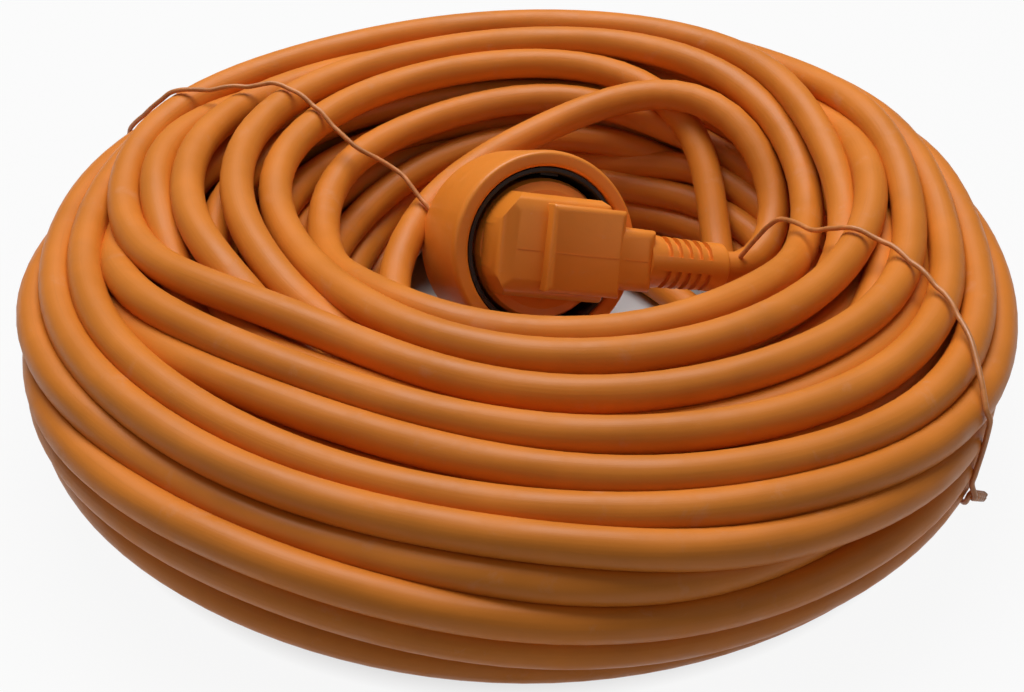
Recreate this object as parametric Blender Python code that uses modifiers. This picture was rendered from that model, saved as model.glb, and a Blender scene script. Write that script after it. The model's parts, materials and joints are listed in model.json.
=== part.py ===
"""Shore power cord: a 25 m extension cord wound into a bundle, its angled plug
parked in its own coupler in the middle of the bundle, and two wire ties.

Blender 4.5, metres, +Z up. The bundle stands on z = 0 with its outer edge
centred on the origin. The plug and the coupler are modelled upright in a frame
of their own: its origin is the centre of the coupler's rim, +Z points out of
the mouth, and the plug's cord leaves along +X.
"""
import math

import bmesh
import bpy
import numpy as np
from mathutils import Matrix, Vector

# ---------------------------------------------------------------- dimensions
GAP = 0.0003                    # between touching pieces

# cord
CORD_DIAMETER = 0.0086          # three-core flexible cord, 3 x 1.5 mm2
CORE_WIRE_DIAMETER = 0.0026     # one insulated core

# bundle of turns
BUNDLE_RADIUS = 0.1248          # outer edge
BUNDLE_HEIGHT = 0.0612
HOLE_RADIUS = 0.060             # at the narrowest height
HOLE_CENTRE_X = 0.016           # the hole sits off centre
HOLE_CENTRE_Y = 0.010
OUTER_SQUARENESS = 2.7          # 2 is an ellipse, more is squarer
INNER_SQUARENESS = 2.0
FLAT_DEPTH = 0.1 * CORD_DIAMETER    # cut flat where the turns stand on the floor
TURN_COUNT = 13                 # turns of the outer layer
STEPS_PER_TURN = 24
FIRST_TURN_AZIMUTH = -75.0      # degrees, where the layer begins inside the hole
START_EASE = 0.0025             # first point stands this far into the hole
SECTION_START = 192.0           # degrees round the section, low on the inner wall
SECTION_END = -100.0            # degrees, underneath
LAYER_GAP = 0.0008              # between the outer layer and the hidden turns
CORE_SECTION_POINTS = 18

# coupler: standard recess of 40 mm bore and 17.5 mm depth
RIM_CENTRE = Vector((0.0081, 0.0056, 0.0370))
COUPLER_TURN = 24.8             # degrees about +Z
COUPLER_TILT = 64.9             # degrees, mouth axis from vertical
EXIT_ROLL = -17.9               # degrees, plug's cord about the mouth axis
RECESS_RADIUS = 0.0200
RECESS_DEPTH = 0.0175
LINER_WALL = 0.0013
RIM_WALL = 0.0042
CUP_LENGTH = 0.0310
BACK_WALL = 0.0013              # shell round the block's back edge
SHOULDER_RADIUS = 0.0145
NECK_LENGTH = 0.0075
NECK_RADIUS = 0.0080
INSERT_RADIUS = 0.0155          # the block below the recess
INSERT_DEPTH = 0.0380           # from rim to the block's back
CHAMBER_RADIUS = 0.0123         # room for the crimps and cores
PIN_SPACING = 0.0190
PIN_RADIUS = 0.0024
PIN_LENGTH = 0.0190
PIN_CLEARANCE = 0.0004
PIN_END_ROOM = 0.0002           # from a pin's tip to the bottom of its sleeve
SLEEVE_BOTTOM = 0.0008
FLANGE_WIDTH = 0.0008           # collar that holds a pin in the plug
SLEEVE_WALL = 0.0008
CRIMP_RADIUS = 0.0020
CRIMP_LENGTH = 0.0050
CORE_SPREAD = 1.2               # cores lie this much further out than touching
WIRE_START = 0.0006             # a core leaves its crimp straight for this far
STRIP_WIDTH = 0.0060
STRIP_THICKNESS = 0.0008
GUIDE_WIDTH = 0.0050
GUIDE_HEIGHT = 0.0008

# strain reliefs
RELIEF_RADIUS = 0.0069
RELIEF_END_RADIUS = 0.0063
PLUG_RELIEF_LENGTH = 0.0220
PLUG_RELIEF_SLOTS = 5
COUPLER_RELIEF_LENGTH = 0.0150
COUPLER_RELIEF_SLOTS = 3
SLOT_WIDTH = 0.0015
SLOT_DEPTH = 0.0013
SLOT_PITCH = 0.0030
BAND_WIDTH = 0.0036             # smooth strip left between the two rows of slots

# plug
PLUG_RADIUS = 0.0185
PLUG_SEAT = 0.0003              # pin face above the recess floor
DISC_TOP = -0.0015
GRIP_WIDTH = 0.0240
GRIP_TOP = 0.0100
GRIP_START = -0.0172
BLOCK_WIDTH = 0.0200
BLOCK_TOP = 0.0140
BLOCK_START = -0.0050
BLOCK_END = 0.0140
NECK_WIDTH = 0.0156
NECK_END = 0.0245
EXIT_HEIGHT = 0.0076            # cord axis above the rim plane
BRIDGE_RADIUS = 0.0145
BRIDGE_TOP = -0.0100
PLUG_WALL = 0.0016
EARTH_HOLE_OFFSET = 0.0100

# wire ties
TIE_WIRE = 0.0013
TIE_CLEARANCE = 0.0006          # wire to the skin of the bundle
TIE_STRAND_SPACING = 0.0019
TIE_AZIMUTHS = {"tie_left": 146.0, "tie_right": -23.5}
TIE_POINTS = 26

# ---------------------------------------------------------------- scene setup
for stale in list(bpy.data.objects):
    bpy.data.objects.remove(stale, do_unlink=True)


def new_collection(name):
    collection = bpy.data.collections.new(name)
    bpy.context.scene.collection.children.link(collection)
    return collection


PARTS = new_collection("shore_power_cord")
CUTTERS = new_collection("cutters")


def material(name, colour, roughness, metallic=0.0):
    made = bpy.data.materials.new(name)
    made.use_nodes = True
    shader = made.node_tree.nodes["Principled BSDF"]
    shader.inputs["Base Color"].default_value = (*colour, 1.0)
    shader.inputs["Roughness"].default_value = roughness
    shader.inputs["Metallic"].default_value = metallic
    return made


ORANGE_CORD = material("orange_cord_jacket", (0.58, 0.19, 0.035), 0.42)
ORANGE_MOULDING = material("orange_moulding", (0.60, 0.20, 0.045), 0.50)
BLACK_INSERT = material("black_insert", (0.015, 0.014, 0.014), 0.45)
NICKEL = material("nickel_plate", (0.62, 0.60, 0.56), 0.25, 1.0)
BRASS = material("brass", (0.70, 0.50, 0.20), 0.30, 1.0)
TIE_COAT = material("tie_coating", (0.38, 0.13, 0.035), 0.45)
BROWN_CORE = material("brown_core", (0.12, 0.045, 0.02), 0.45)
BLUE_CORE = material("blue_core", (0.02, 0.08, 0.35), 0.45)
EARTH_CORE = material("green_yellow_core", (0.30, 0.45, 0.05), 0.45)

# the plug and the coupler hang on one empty
CONNECTOR = bpy.data.objects.new("connector_place", None)
CONNECTOR.rotation_mode = "QUATERNION"
TURN = Matrix.Rotation(math.radians(COUPLER_TURN), 3, "Z")
TILT = Matrix.Rotation(math.radians(COUPLER_TILT), 3, "X")
ROLL = Matrix.Rotation(math.radians(EXIT_ROLL), 3, "Z")
CONNECTOR.rotation_quaternion = (TURN @ TILT @ ROLL).to_quaternion()
CONNECTOR.location = RIM_CENTRE
PARTS.objects.link(CONNECTOR)
CONNECTOR_MATRIX = Matrix.LocRotScale(
    RIM_CENTRE, CONNECTOR.rotation_quaternion, Vector((1, 1, 1)))


# ---------------------------------------------------------------- helpers
def link(obj, collection, paint=None, parent=CONNECTOR):
    for old in list(obj.users_collection):
        old.objects.unlink(obj)
    collection.objects.link(obj)
    obj.parent = parent
    if paint is not None:
        obj.data.materials.clear()
        obj.data.materials.append(paint)
    if collection is CUTTERS:
        obj.hide_render = True
        obj.display_type = "WIRE"
    return obj


def smooth(obj, angle=32.0):
    obj.data.shade_smooth()
    obj.data.set_sharp_from_angle(angle=math.radians(angle))
    return obj


def from_bmesh(name, shape, paint=None, collection=PARTS, parent=CONNECTOR):
    mesh = bpy.data.meshes.new(name)
    shape.to_mesh(mesh)
    shape.free()
    return link(bpy.data.objects.new(name, mesh), collection, paint, parent)


def box(name, low, high, paint=None, collection=CUTTERS, parent=CONNECTOR):
    """A box from its low corner to its high corner."""
    shape = bmesh.new()
    low, high = Vector(low), Vector(high)
    bmesh.ops.create_cube(shape, size=1.0)
    bmesh.ops.scale(shape, vec=high - low, verts=shape.verts)
    bmesh.ops.translate(shape, vec=(low + high) / 2, verts=shape.verts)
    return from_bmesh(name, shape, paint, collection, parent)


def cylinder(name, radius, low, high, centre=(0.0, 0.0), axis="Z", sides=24,
             paint=None, collection=CUTTERS):
    """A cylinder between two heights along Z or X, centred on the other two."""
    shape = bmesh.new()
    bmesh.ops.create_cone(shape, cap_ends=True, segments=sides, radius1=radius,
                          radius2=radius, depth=high - low)
    bmesh.ops.translate(shape, vec=(0, 0, (low + high) / 2), verts=shape.verts)
    if axis == "X":
        bmesh.ops.rotate(shape, matrix=Matrix.Rotation(math.pi / 2, 3, "Y"),
                         verts=shape.verts)
        bmesh.ops.translate(shape, vec=(0, *centre), verts=shape.verts)
    else:
        bmesh.ops.translate(shape, vec=(*centre, 0), verts=shape.verts)
    return from_bmesh(name, shape, paint, collection)


def turned(name, profile, paint=None, collection=PARTS, sides=32, closed=False):
    """Turn a profile of (radius, height) about Z, running top to bottom outside."""
    mesh = bpy.data.meshes.new(name)
    points = [(radius, 0.0, height) for radius, height in profile]
    edges = [(i, i + 1) for i in range(len(points) - 1)]
    if closed:
        edges.append((len(points) - 1, 0))
    mesh.from_pydata(points, edges, [])
    obj = link(bpy.data.objects.new(name, mesh), collection, paint)
    screw = obj.modifiers.new("turn", "SCREW")
    screw.axis = "Z"
    screw.steps = sides
    screw.render_steps = sides
    screw.use_merge_vertices = True
    screw.merge_threshold = 0.00001
    return obj


def boolean(target, other, operation):
    step = target.modifiers.new(operation.lower(), "BOOLEAN")
    step.operation = operation
    step.solver = "EXACT"
    step.object = other
    if other.name not in CUTTERS.objects:
        link(other, CUTTERS, parent=other.parent)
    return target


def cut(target, *cutters):
    for cutter in cutters:
        boolean(target, cutter, "DIFFERENCE")
    return target


def join(target, *pieces):
    for piece in pieces:
        boolean(target, piece, "UNION")
    return target


def tube(name, points, diameter, paint, resolution, parent=None, twist="MINIMUM"):
    """A round tube with filled ends along a chain of points."""
    curve = bpy.data.curves.new(name, "CURVE")
    curve.dimensions = "3D"
    curve.twist_mode = twist
    curve.bevel_depth = diameter / 2
    curve.bevel_resolution = resolution
    curve.use_fill_caps = True
    spline = curve.splines.new("POLY")
    spline.points.add(len(points) - 1)
    for slot, point in zip(spline.points, points):
        slot.co = (*point, 1.0)
    return link(bpy.data.objects.new(name, curve), PARTS, paint, parent)


def as_mesh(obj):
    """Make a curve a closed mesh, so that it can be cut."""
    bpy.context.view_layer.update()
    graph = bpy.context.evaluated_depsgraph_get()
    mesh = bpy.data.meshes.new_from_object(obj.evaluated_get(graph))
    shape = bmesh.new()
    shape.from_mesh(mesh)
    bmesh.ops.remove_doubles(shape, verts=shape.verts, dist=0.00001)
    shape.to_mesh(mesh)
    shape.free()
    solid = bpy.data.objects.new(obj.name + "_solid", mesh)
    solid.matrix_world = obj.matrix_world
    name = obj.name
    bpy.data.objects.remove(obj, do_unlink=True)
    solid.name = name
    PARTS.objects.link(solid)
    return solid


def smooth_route(points, spacing):
    """A smooth curve through the route's points, its first and last stretch straight."""
    route = [Vector(point) for point in points]
    dense = []
    for a, b, c, d in zip(route, route[1:], route[2:], route[3:]):
        for step in range(16):
            t = step / 16
            dense.append(0.5 * (2 * b + (c - a) * t + (2 * a - 5 * b + 4 * c - d) * t * t
                                + (3 * b - a - 3 * c + d) * t ** 3))
    dense.append(route[-2])
    lengths = np.cumsum([0.0] + [(q - p).length for p, q in zip(dense, dense[1:])])
    count = max(2, round(lengths[-1] / spacing)) + 1
    places = np.linspace(0, lengths[-1], count)
    columns = [np.interp(places, lengths, [p[i] for p in dense]) for i in range(3)]
    middle = [Vector(values) for values in zip(*columns)]
    return [route[0], *middle, route[-1]]


def in_world(point):
    """A place in the connector's frame, in world coordinates."""
    return CONNECTOR_MATRIX @ Vector(point)


def direction_in_world(direction):
    return (CONNECTOR_MATRIX.to_3x3() @ Vector(direction)).normalized()


# ---------------------------------------------------------------- the bundle
def hole_edge(azimuth):
    """Distance from the origin to the hole's wall."""
    across = HOLE_CENTRE_X * math.sin(azimuth) - HOLE_CENTRE_Y * math.cos(azimuth)
    along = HOLE_CENTRE_X * math.cos(azimuth) + HOLE_CENTRE_Y * math.sin(azimuth)
    return along + math.sqrt(HOLE_RADIUS ** 2 - across ** 2)


def power(value, exponent):
    return math.copysign(abs(value) ** exponent, value)


def section_point(azimuth, angle, inset):
    """A point of the bundle's section, as a rounded square inset from its skin."""
    inner = hole_edge(azimuth)
    middle = (BUNDLE_RADIUS + inner) / 2
    half_width = (BUNDLE_RADIUS - inner) / 2 - inset
    half_height = (BUNDLE_HEIGHT + FLAT_DEPTH) / 2 - inset
    squareness = OUTER_SQUARENESS if math.cos(angle) > 0 else INNER_SQUARENESS
    radius = middle + half_width * power(math.cos(angle), 2 / squareness)
    centre_height = (BUNDLE_HEIGHT - FLAT_DEPTH) / 2
    height = centre_height + half_height * power(math.sin(angle), 2 / squareness)
    return Vector((radius * math.cos(azimuth), radius * math.sin(azimuth), height))


def section_path(azimuth, start, end, inset, count=181):
    """Points and running lengths along the section between two angles."""
    angles = np.linspace(math.radians(start), math.radians(end), count)
    points = np.array([section_point(azimuth, angle, inset) for angle in angles])
    steps = np.linalg.norm(np.diff(points, axis=0), axis=1)
    return points, np.concatenate(([0.0], np.cumsum(steps)))


def winding_points():
    """The outer layer: turns at an even pitch round the section."""
    step_angle = 2 * math.pi / STEPS_PER_TURN
    total = TURN_COUNT * STEPS_PER_TURN
    first = math.radians(FIRST_TURN_AZIMUTH)
    paths = [section_path(first + k * step_angle, SECTION_START, SECTION_END,
                          CORD_DIAMETER / 2) for k in range(STEPS_PER_TURN)]
    route = []
    for k in range(total + 1):
        points, lengths = paths[k % STEPS_PER_TURN]
        place = lengths[-1] * k / total
        route.append(Vector([np.interp(place, lengths, points[:, i]) for i in range(3)]))
    route[0] -= START_EASE * Vector((math.cos(first), math.sin(first), 0.0))
    return route


def least_gap(route, diameter, skip):
    """Least gap between a tube's stretches more than skip points apart."""
    fine = []
    for a, b in zip(route, route[1:]):
        fine.extend(a.lerp(b, t / 4) for t in range(4))
    fine = np.array(fine)
    least = 1.0
    for i in range(len(fine) - 4 * skip):
        rest = fine[i + 4 * skip:]
        least = min(least, float(np.min(np.linalg.norm(rest - fine[i], axis=1))))
    return least - diameter


def make_bundle():
    route = winding_points()
    gap = least_gap(route, CORD_DIAMETER, STEPS_PER_TURN // 2)
    print(f"cord_coil: least gap to itself {gap * 1000:.2f} mm")
    coil = as_mesh(tube("cord_coil", route, CORD_DIAMETER, ORANGE_CORD, 1, twist="Z_UP"))
    link(coil, PARTS, ORANGE_CORD, parent=None)
    reach = 2 * BUNDLE_RADIUS
    cut(coil, box("floor_cutter", (-reach, -reach, -BUNDLE_HEIGHT), (reach, reach, 0.0),
                  parent=None))
    for name, azimuth in TIE_AZIMUTHS.items():
        cut(coil, tie_notch(name, azimuth))
    smooth(coil, 70.0)
    make_hidden_turns()
    return route


def make_hidden_turns():
    """The turns inside the outer layer, as one plain ring."""
    inset = CORD_DIAMETER + LAYER_GAP
    shape = bmesh.new()
    rings = []
    for k in range(STEPS_PER_TURN):
        azimuth = math.radians(FIRST_TURN_AZIMUTH) + 2 * math.pi * k / STEPS_PER_TURN
        rings.append([shape.verts.new(section_point(azimuth, angle, inset))
                      for angle in np.linspace(0, 2 * math.pi, CORE_SECTION_POINTS,
                                               endpoint=False)])
    for ring, after in zip(rings, rings[1:] + rings[:1]):
        for i in range(CORE_SECTION_POINTS):
            j = (i + 1) % CORE_SECTION_POINTS
            shape.faces.new((ring[i], after[i], after[j], ring[j]))
    bmesh.ops.recalc_face_normals(shape, faces=shape.faces)
    smooth(from_bmesh("hidden_turns", shape, ORANGE_CORD, parent=None), 60.0)


# ---------------------------------------------------------------- wire ties
def tie_notch(name, azimuth):
    """Cutter for the groove that the tie presses into the turns it stands under."""
    depth = TIE_WIRE + 2 * GAP
    half = (TIE_STRAND_SPACING + TIE_WIRE) / 2 + 2 * GAP
    notch = box(name + "_notch", (0.0, -half, -BUNDLE_HEIGHT),
                (1.2 * BUNDLE_RADIUS, half, depth), parent=None)
    notch.rotation_euler.z = math.radians(azimuth)
    return notch


def chord_rise(azimuth, round_angle):
    """How far the straight stretches of a turn stand into the hole between points."""
    if math.cos(round_angle) >= 0:
        return 0.0
    return hole_edge(azimuth) * (1 - math.cos(math.pi / STEPS_PER_TURN))


def make_tie(name, azimuth):
    """A wire that goes twice round the bundle, its ends side by side in the hole."""
    angle = math.radians(azimuth)
    inset = -(TIE_CLEARANCE + TIE_WIRE / 2)
    side = Vector((-math.sin(angle), math.cos(angle), 0.0))
    lowest = GAP + TIE_WIRE / 2
    turns = 2
    route = []
    total = turns * TIE_POINTS
    for k in range(total + 1):
        round_angle = math.pi - 2 * math.pi * k / TIE_POINTS
        point = section_point(angle, round_angle, inset - chord_rise(angle, round_angle))
        point.z = max(point.z, lowest)
        shift = TIE_STRAND_SPACING * (k / total - 0.5)
        route.append(point + side * shift)
    smooth_tie = tube(name, route, TIE_WIRE, TIE_COAT, 1)
    return smooth_tie


# ---------------------------------------------------------------- strain relief
def relief_profile(start, end, slots):
    """Turned outline with ring slots, from the root at start to the end."""
    way = 1 if end > start else -1
    length = abs(end - start)
    first = length - slots * SLOT_PITCH - 0.0035
    points = [(RELIEF_RADIUS, start)]
    for k in range(slots):
        place = first + k * SLOT_PITCH
        radius = RELIEF_RADIUS + (RELIEF_END_RADIUS - RELIEF_RADIUS) * place / length
        near = start + way * place
        far = near + way * SLOT_WIDTH
        points += [(radius, near), (radius - SLOT_DEPTH, near),
                   (radius - SLOT_DEPTH, far), (radius, far)]
    points += [(RELIEF_END_RADIUS, end - way * 0.0006), (RELIEF_END_RADIUS - 0.0006, end)]
    return points


def add_relief(body, name, start, end, slots, matrix):
    """Add a slotted strain relief to a moulding, its own axis laid by a matrix."""
    profile = [(0.0, start), *relief_profile(start, end, slots), (0.0, end)]
    if end > start:
        profile.reverse()
    relief = turned(name, profile, collection=CUTTERS, sides=24)
    low, high = sorted((start, end))
    half = BAND_WIDTH / 2
    reach = RELIEF_END_RADIUS - 0.0002
    band = box(name + "_band", (-reach, -half, low + 0.0008), (reach, half, high - 0.0008))
    for piece in (relief, band):
        piece.matrix_local = matrix
    return join(body, relief, band)


# ---------------------------------------------------------------- coupler
SHELL_RADIUS = RECESS_RADIUS + LINER_WALL + GAP + RIM_WALL
RECESS_FLOOR = -RECESS_DEPTH
FACE = RECESS_FLOOR + PLUG_SEAT     # the plug's pin face
PIN_TIP = FACE - PIN_LENGTH
SLEEVE_BACK = PIN_TIP - PIN_END_ROOM - SLEEVE_BOTTOM
COUPLER_SHOULDER = min(SLEEVE_BACK, -INSERT_DEPTH) - CRIMP_LENGTH
COUPLER_NECK = COUPLER_SHOULDER - NECK_LENGTH
COUPLER_END = COUPLER_NECK - COUPLER_RELIEF_LENGTH + 0.001
CORD_BORE = CORD_DIAMETER / 2 + GAP
SLEEVE_INNER = PIN_RADIUS + PIN_CLEARANCE
SLEEVE_OUTER = SLEEVE_INNER + SLEEVE_WALL
FLOOR_THICKNESS = 0.0030
PIN_PLACES = {"live": PIN_SPACING / 2, "neutral": -PIN_SPACING / 2}


CLIP_X = PLUG_RADIUS + 0.0004       # inner face of an earth clip
CLIP_TOP = -0.0045
CLIP_FLARE = 0.0004
BRACKET_LEVEL = -INSERT_DEPTH - GAP - STRIP_THICKNESS


def make_coupler_shell():
    bore = RECESS_RADIUS + LINER_WALL + GAP
    block = INSERT_RADIUS + GAP
    ledge = RECESS_FLOOR - FLOOR_THICKNESS - GAP
    back = BRACKET_LEVEL - GAP
    shell = turned("coupler_shell", [
        (0.0, back), (block, back), (block, ledge), (bore, ledge),
        (bore, -0.0003), (bore + 0.0006, 0.0), (SHELL_RADIUS - 0.0012, 0.0),
        (SHELL_RADIUS - 0.0003, -0.0005), (SHELL_RADIUS, -0.0015),
        (SHELL_RADIUS - 0.0008, -CUP_LENGTH + 0.005),
        (SHELL_RADIUS - 0.0022, -CUP_LENGTH + 0.001),
        (SHELL_RADIUS - 0.0052, -CUP_LENGTH - 0.002), (block + BACK_WALL, back),
        (SHOULDER_RADIUS + 0.0014, COUPLER_SHOULDER + 0.0015),
        (SHOULDER_RADIUS, COUPLER_SHOULDER), (NECK_RADIUS, COUPLER_NECK),
        (RELIEF_RADIUS - 0.0005, COUPLER_NECK - 0.0010),
        (0.0, COUPLER_NECK - 0.0010)], ORANGE_MOULDING, sides=40)
    add_relief(shell, "coupler_relief", COUPLER_NECK + 0.0002, COUPLER_END,
               COUPLER_RELIEF_SLOTS, Matrix.Identity(4))
    chamber = turned("coupler_chamber", [
        (0.0, back + 0.001), (CHAMBER_RADIUS, back + 0.001),
        (CHAMBER_RADIUS, COUPLER_SHOULDER), (CORD_BORE, COUPLER_NECK + 0.0005),
        (CORD_BORE, COUPLER_END - 0.002), (0.0, COUPLER_END - 0.002)],
        collection=CUTTERS, sides=24)
    cut(shell, chamber)
    return smooth(shell)


def make_coupler_insert():
    outer = RECESS_RADIUS + LINER_WALL
    low = RECESS_FLOOR - FLOOR_THICKNESS
    insert = turned("coupler_insert", [
        (0.0, RECESS_FLOOR), (RECESS_RADIUS, RECESS_FLOOR),
        (RECESS_RADIUS, -0.0018), (RECESS_RADIUS + 0.0004, -0.0012),
        (outer, -0.0012), (outer, low), (INSERT_RADIUS, low),
        (INSERT_RADIUS, -INSERT_DEPTH), (0.0, -INSERT_DEPTH)], BLACK_INSERT, sides=40)
    for side in (1, -1):
        low_y, high_y = sorted((side * (RECESS_RADIUS - GUIDE_HEIGHT),
                                side * (RECESS_RADIUS + 0.0006)))
        join(insert, box(f"guide_{side}", (-GUIDE_WIDTH / 2, low_y, RECESS_FLOOR - 0.0005),
                         (GUIDE_WIDTH / 2, high_y, -0.0040)))
    for pole, y in PIN_PLACES.items():
        pocket = cylinder(f"pocket_{pole}", SLEEVE_OUTER + GAP, -INSERT_DEPTH - 0.001,
                          RECESS_FLOOR - FLOOR_THICKNESS, (0.0, y), sides=20)
        entry = cylinder(f"entry_{pole}", SLEEVE_INNER + GAP, RECESS_FLOOR - 0.004,
                         RECESS_FLOOR + 0.001, (0.0, y), sides=20)
        cut(insert, pocket, entry)
    for side in (1, -1):
        cut(insert, clip_slot(side))
    return smooth(insert)


def clip_slot(side):
    half = STRIP_WIDTH / 2 + GAP
    inner = INSERT_RADIUS - 3 * GAP - STRIP_THICKNESS
    outer = CLIP_X + STRIP_THICKNESS + CLIP_FLARE + GAP
    low_x, high_x = sorted((side * inner, side * outer))
    return box(f"clip_slot_{side}", (low_x, -half, -INSERT_DEPTH - 0.001),
               (high_x, half, CLIP_TOP + GAP))


def strip_outline(points, thickness, name, paint, width):
    """A flat metal strip bent along a chain of (x, z) corners."""
    shape = bmesh.new()
    chain = [Vector((x, 0.0, z)) for x, z in points]
    sides = []
    for i, point in enumerate(chain):
        before = (point - chain[i - 1]).normalized() if i else None
        after = (chain[i + 1] - point).normalized() if i + 1 < len(chain) else None
        runs = [run for run in (before, after) if run is not None]
        normals = [Vector((-run.z, 0.0, run.x)) for run in runs]
        offset = sum(normals, Vector()) / len(normals)
        offset *= 1.0 / max(offset.length_squared, 0.3)
        sides.append((point + offset * thickness / 2, point - offset * thickness / 2))
    outline = [pair[0] for pair in sides] + [pair[1] for pair in reversed(sides)]
    verts = [shape.verts.new(corner + Vector((0.0, -width / 2, 0.0))) for corner in outline]
    face = shape.faces.new(verts)
    moved = bmesh.ops.extrude_face_region(shape, geom=[face])["geom"]
    bmesh.ops.translate(shape, vec=(0, width, 0),
                        verts=[v for v in moved if isinstance(v, bmesh.types.BMVert)])
    bmesh.ops.recalc_face_normals(shape, faces=shape.faces)
    return from_bmesh(name, shape, paint)


def make_coupler_earth():
    """U-shaped bracket whose two ends are the side clips of the recess."""
    half = STRIP_THICKNESS / 2
    leg = INSERT_RADIUS - 2 * GAP - half
    clip = CLIP_X + half
    level = BRACKET_LEVEL + half
    jog = RECESS_FLOOR - FLOOR_THICKNESS / 2
    right = [(leg, jog), (clip, jog), (clip, CLIP_TOP - 0.0015), (clip + CLIP_FLARE, CLIP_TOP)]
    left = [(-x, z) for x, z in reversed(right)]
    bracket = strip_outline([*left, (-leg, level), (leg, level), *right],
                            STRIP_THICKNESS, "coupler_earth_bracket", NICKEL, STRIP_WIDTH)
    crimp = cylinder("earth_crimp", CRIMP_RADIUS, level - 0.006, level + half / 2,
                     (0.0, 0.0), sides=12)
    return join(bracket, crimp)


def make_coupler_contacts():
    """Two slit-free sleeves with crimp barrels behind them."""
    top = RECESS_FLOOR - FLOOR_THICKNESS - GAP
    for pole, y in PIN_PLACES.items():
        bottom = SLEEVE_BACK + SLEEVE_BOTTOM
        end = SLEEVE_BACK - CRIMP_LENGTH
        contact = turned(f"coupler_contact_{pole}", [
            (0.0, bottom), (SLEEVE_INNER, bottom), (SLEEVE_INNER, top),
            (SLEEVE_OUTER, top), (SLEEVE_OUTER, SLEEVE_BACK), (CRIMP_RADIUS, SLEEVE_BACK),
            (CRIMP_RADIUS, end), (CRIMP_RADIUS - 0.0006, end),
            (CRIMP_RADIUS - 0.0006, end + 0.004), (0.0, end + 0.004)], BRASS, sides=20)
        contact.location = (0.0, y, 0.0)
        smooth(contact)


# ---------------------------------------------------------------- plug
PLUG_END = NECK_END + PLUG_RELIEF_LENGTH
ALONG_X = Matrix.Translation((0.0, 0.0, EXIT_HEIGHT)) @ Matrix.Rotation(math.pi / 2, 4, "Y")


def chamfered(name, low, high, width):
    """A block whose edges are cut back by a chamfer."""
    shape = bmesh.new()
    low, high = Vector(low), Vector(high)
    bmesh.ops.create_cube(shape, size=1.0)
    bmesh.ops.scale(shape, vec=high - low, verts=shape.verts)
    bmesh.ops.translate(shape, vec=(low + high) / 2, verts=shape.verts)
    edges = [edge for edge in shape.edges
             if min(v.co.z for v in edge.verts) > (low.z + high.z) / 2]
    bmesh.ops.bevel(shape, geom=edges, offset=width, segments=2, profile=0.5,
                    affect="EDGES")
    return from_bmesh(name, shape, collection=CUTTERS)


def make_plug_body():
    disc = turned("plug_body", [
        (0.0, DISC_TOP), (PLUG_RADIUS - 0.0030, DISC_TOP), (PLUG_RADIUS - 0.0008, DISC_TOP - 0.0008),
        (PLUG_RADIUS, DISC_TOP - 0.0025), (PLUG_RADIUS, FACE + 0.0008),
        (PLUG_RADIUS - 0.0008, FACE), (0.0, FACE)], ORANGE_MOULDING, sides=40)
    grip = chamfered("grip", (GRIP_START, -GRIP_WIDTH / 2, DISC_TOP - 0.001),
                     (BLOCK_END, GRIP_WIDTH / 2, GRIP_TOP), 0.0045)
    boolean(grip, cylinder("grip_round", PLUG_RADIUS - 0.0006, DISC_TOP - 0.002,
                           GRIP_TOP + 0.001, sides=40), "INTERSECT")
    block = chamfered("grip_block", (BLOCK_START, -BLOCK_WIDTH / 2, DISC_TOP - 0.0005),
                      (BLOCK_END + 0.0012, BLOCK_WIDTH / 2, BLOCK_TOP), 0.0012)
    neck = chamfered("grip_neck", (BLOCK_END - 0.002, -NECK_WIDTH / 2, 0.0008),
                     (NECK_END, NECK_WIDTH / 2, EXIT_HEIGHT + RELIEF_RADIUS - 0.0006), 0.0020)
    join(disc, grip, block, neck)
    add_relief(disc, "plug_relief", NECK_END - 0.0010, PLUG_END, PLUG_RELIEF_SLOTS, ALONG_X)
    pocket = cylinder("bridge_pocket", BRIDGE_RADIUS + GAP, FACE - 0.001,
                      BRIDGE_TOP + GAP, sides=32)
    room_end = BLOCK_END - 0.0010
    flange_reach = PIN_SPACING / 2 + PIN_RADIUS + FLANGE_WIDTH + GAP
    flange_room = box("flange_room", (-0.0042, -flange_reach, BRIDGE_TOP - 0.0005),
                      (0.0042, flange_reach, BRIDGE_TOP + 0.0018))
    crimp_reach = PIN_SPACING / 2 + CRIMP_RADIUS + GAP
    crimp_room = box("crimp_room", (-0.0040, -crimp_reach, BRIDGE_TOP),
                     (0.0040, crimp_reach, DISC_TOP - 0.0004))
    wire_room = box("wire_room", (-0.0040, PLUG_WALL - GRIP_WIDTH / 2, BRIDGE_TOP),
                    (room_end, GRIP_WIDTH / 2 - PLUG_WALL, 0.0034))
    upper_room = box("upper_room", (-0.0010, PLUG_WALL - BLOCK_WIDTH / 2, 0.0),
                     (room_end, BLOCK_WIDTH / 2 - PLUG_WALL, EXIT_HEIGHT + 0.0034))
    throat = box("plug_throat", (0.0105, -0.0052, EXIT_HEIGHT - 0.0034),
                 (NECK_END - 0.0040, 0.0052, EXIT_HEIGHT + 0.0034))
    bore = cylinder("plug_bore", CORD_BORE, NECK_END - 0.0060, PLUG_END + 0.0020,
                    (0.0, EXIT_HEIGHT), axis="X", sides=16)
    cut(disc, pocket, flange_room, crimp_room, wire_room, upper_room, throat, bore)
    for side in (1, -1):
        cut(disc, side_groove(side), guide_notch(side))
    return smooth(disc)


STRIP_LEVEL = BRIDGE_TOP + 2 * GAP + STRIP_THICKNESS / 2
STRIP_FACE = PLUG_RADIUS


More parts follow.
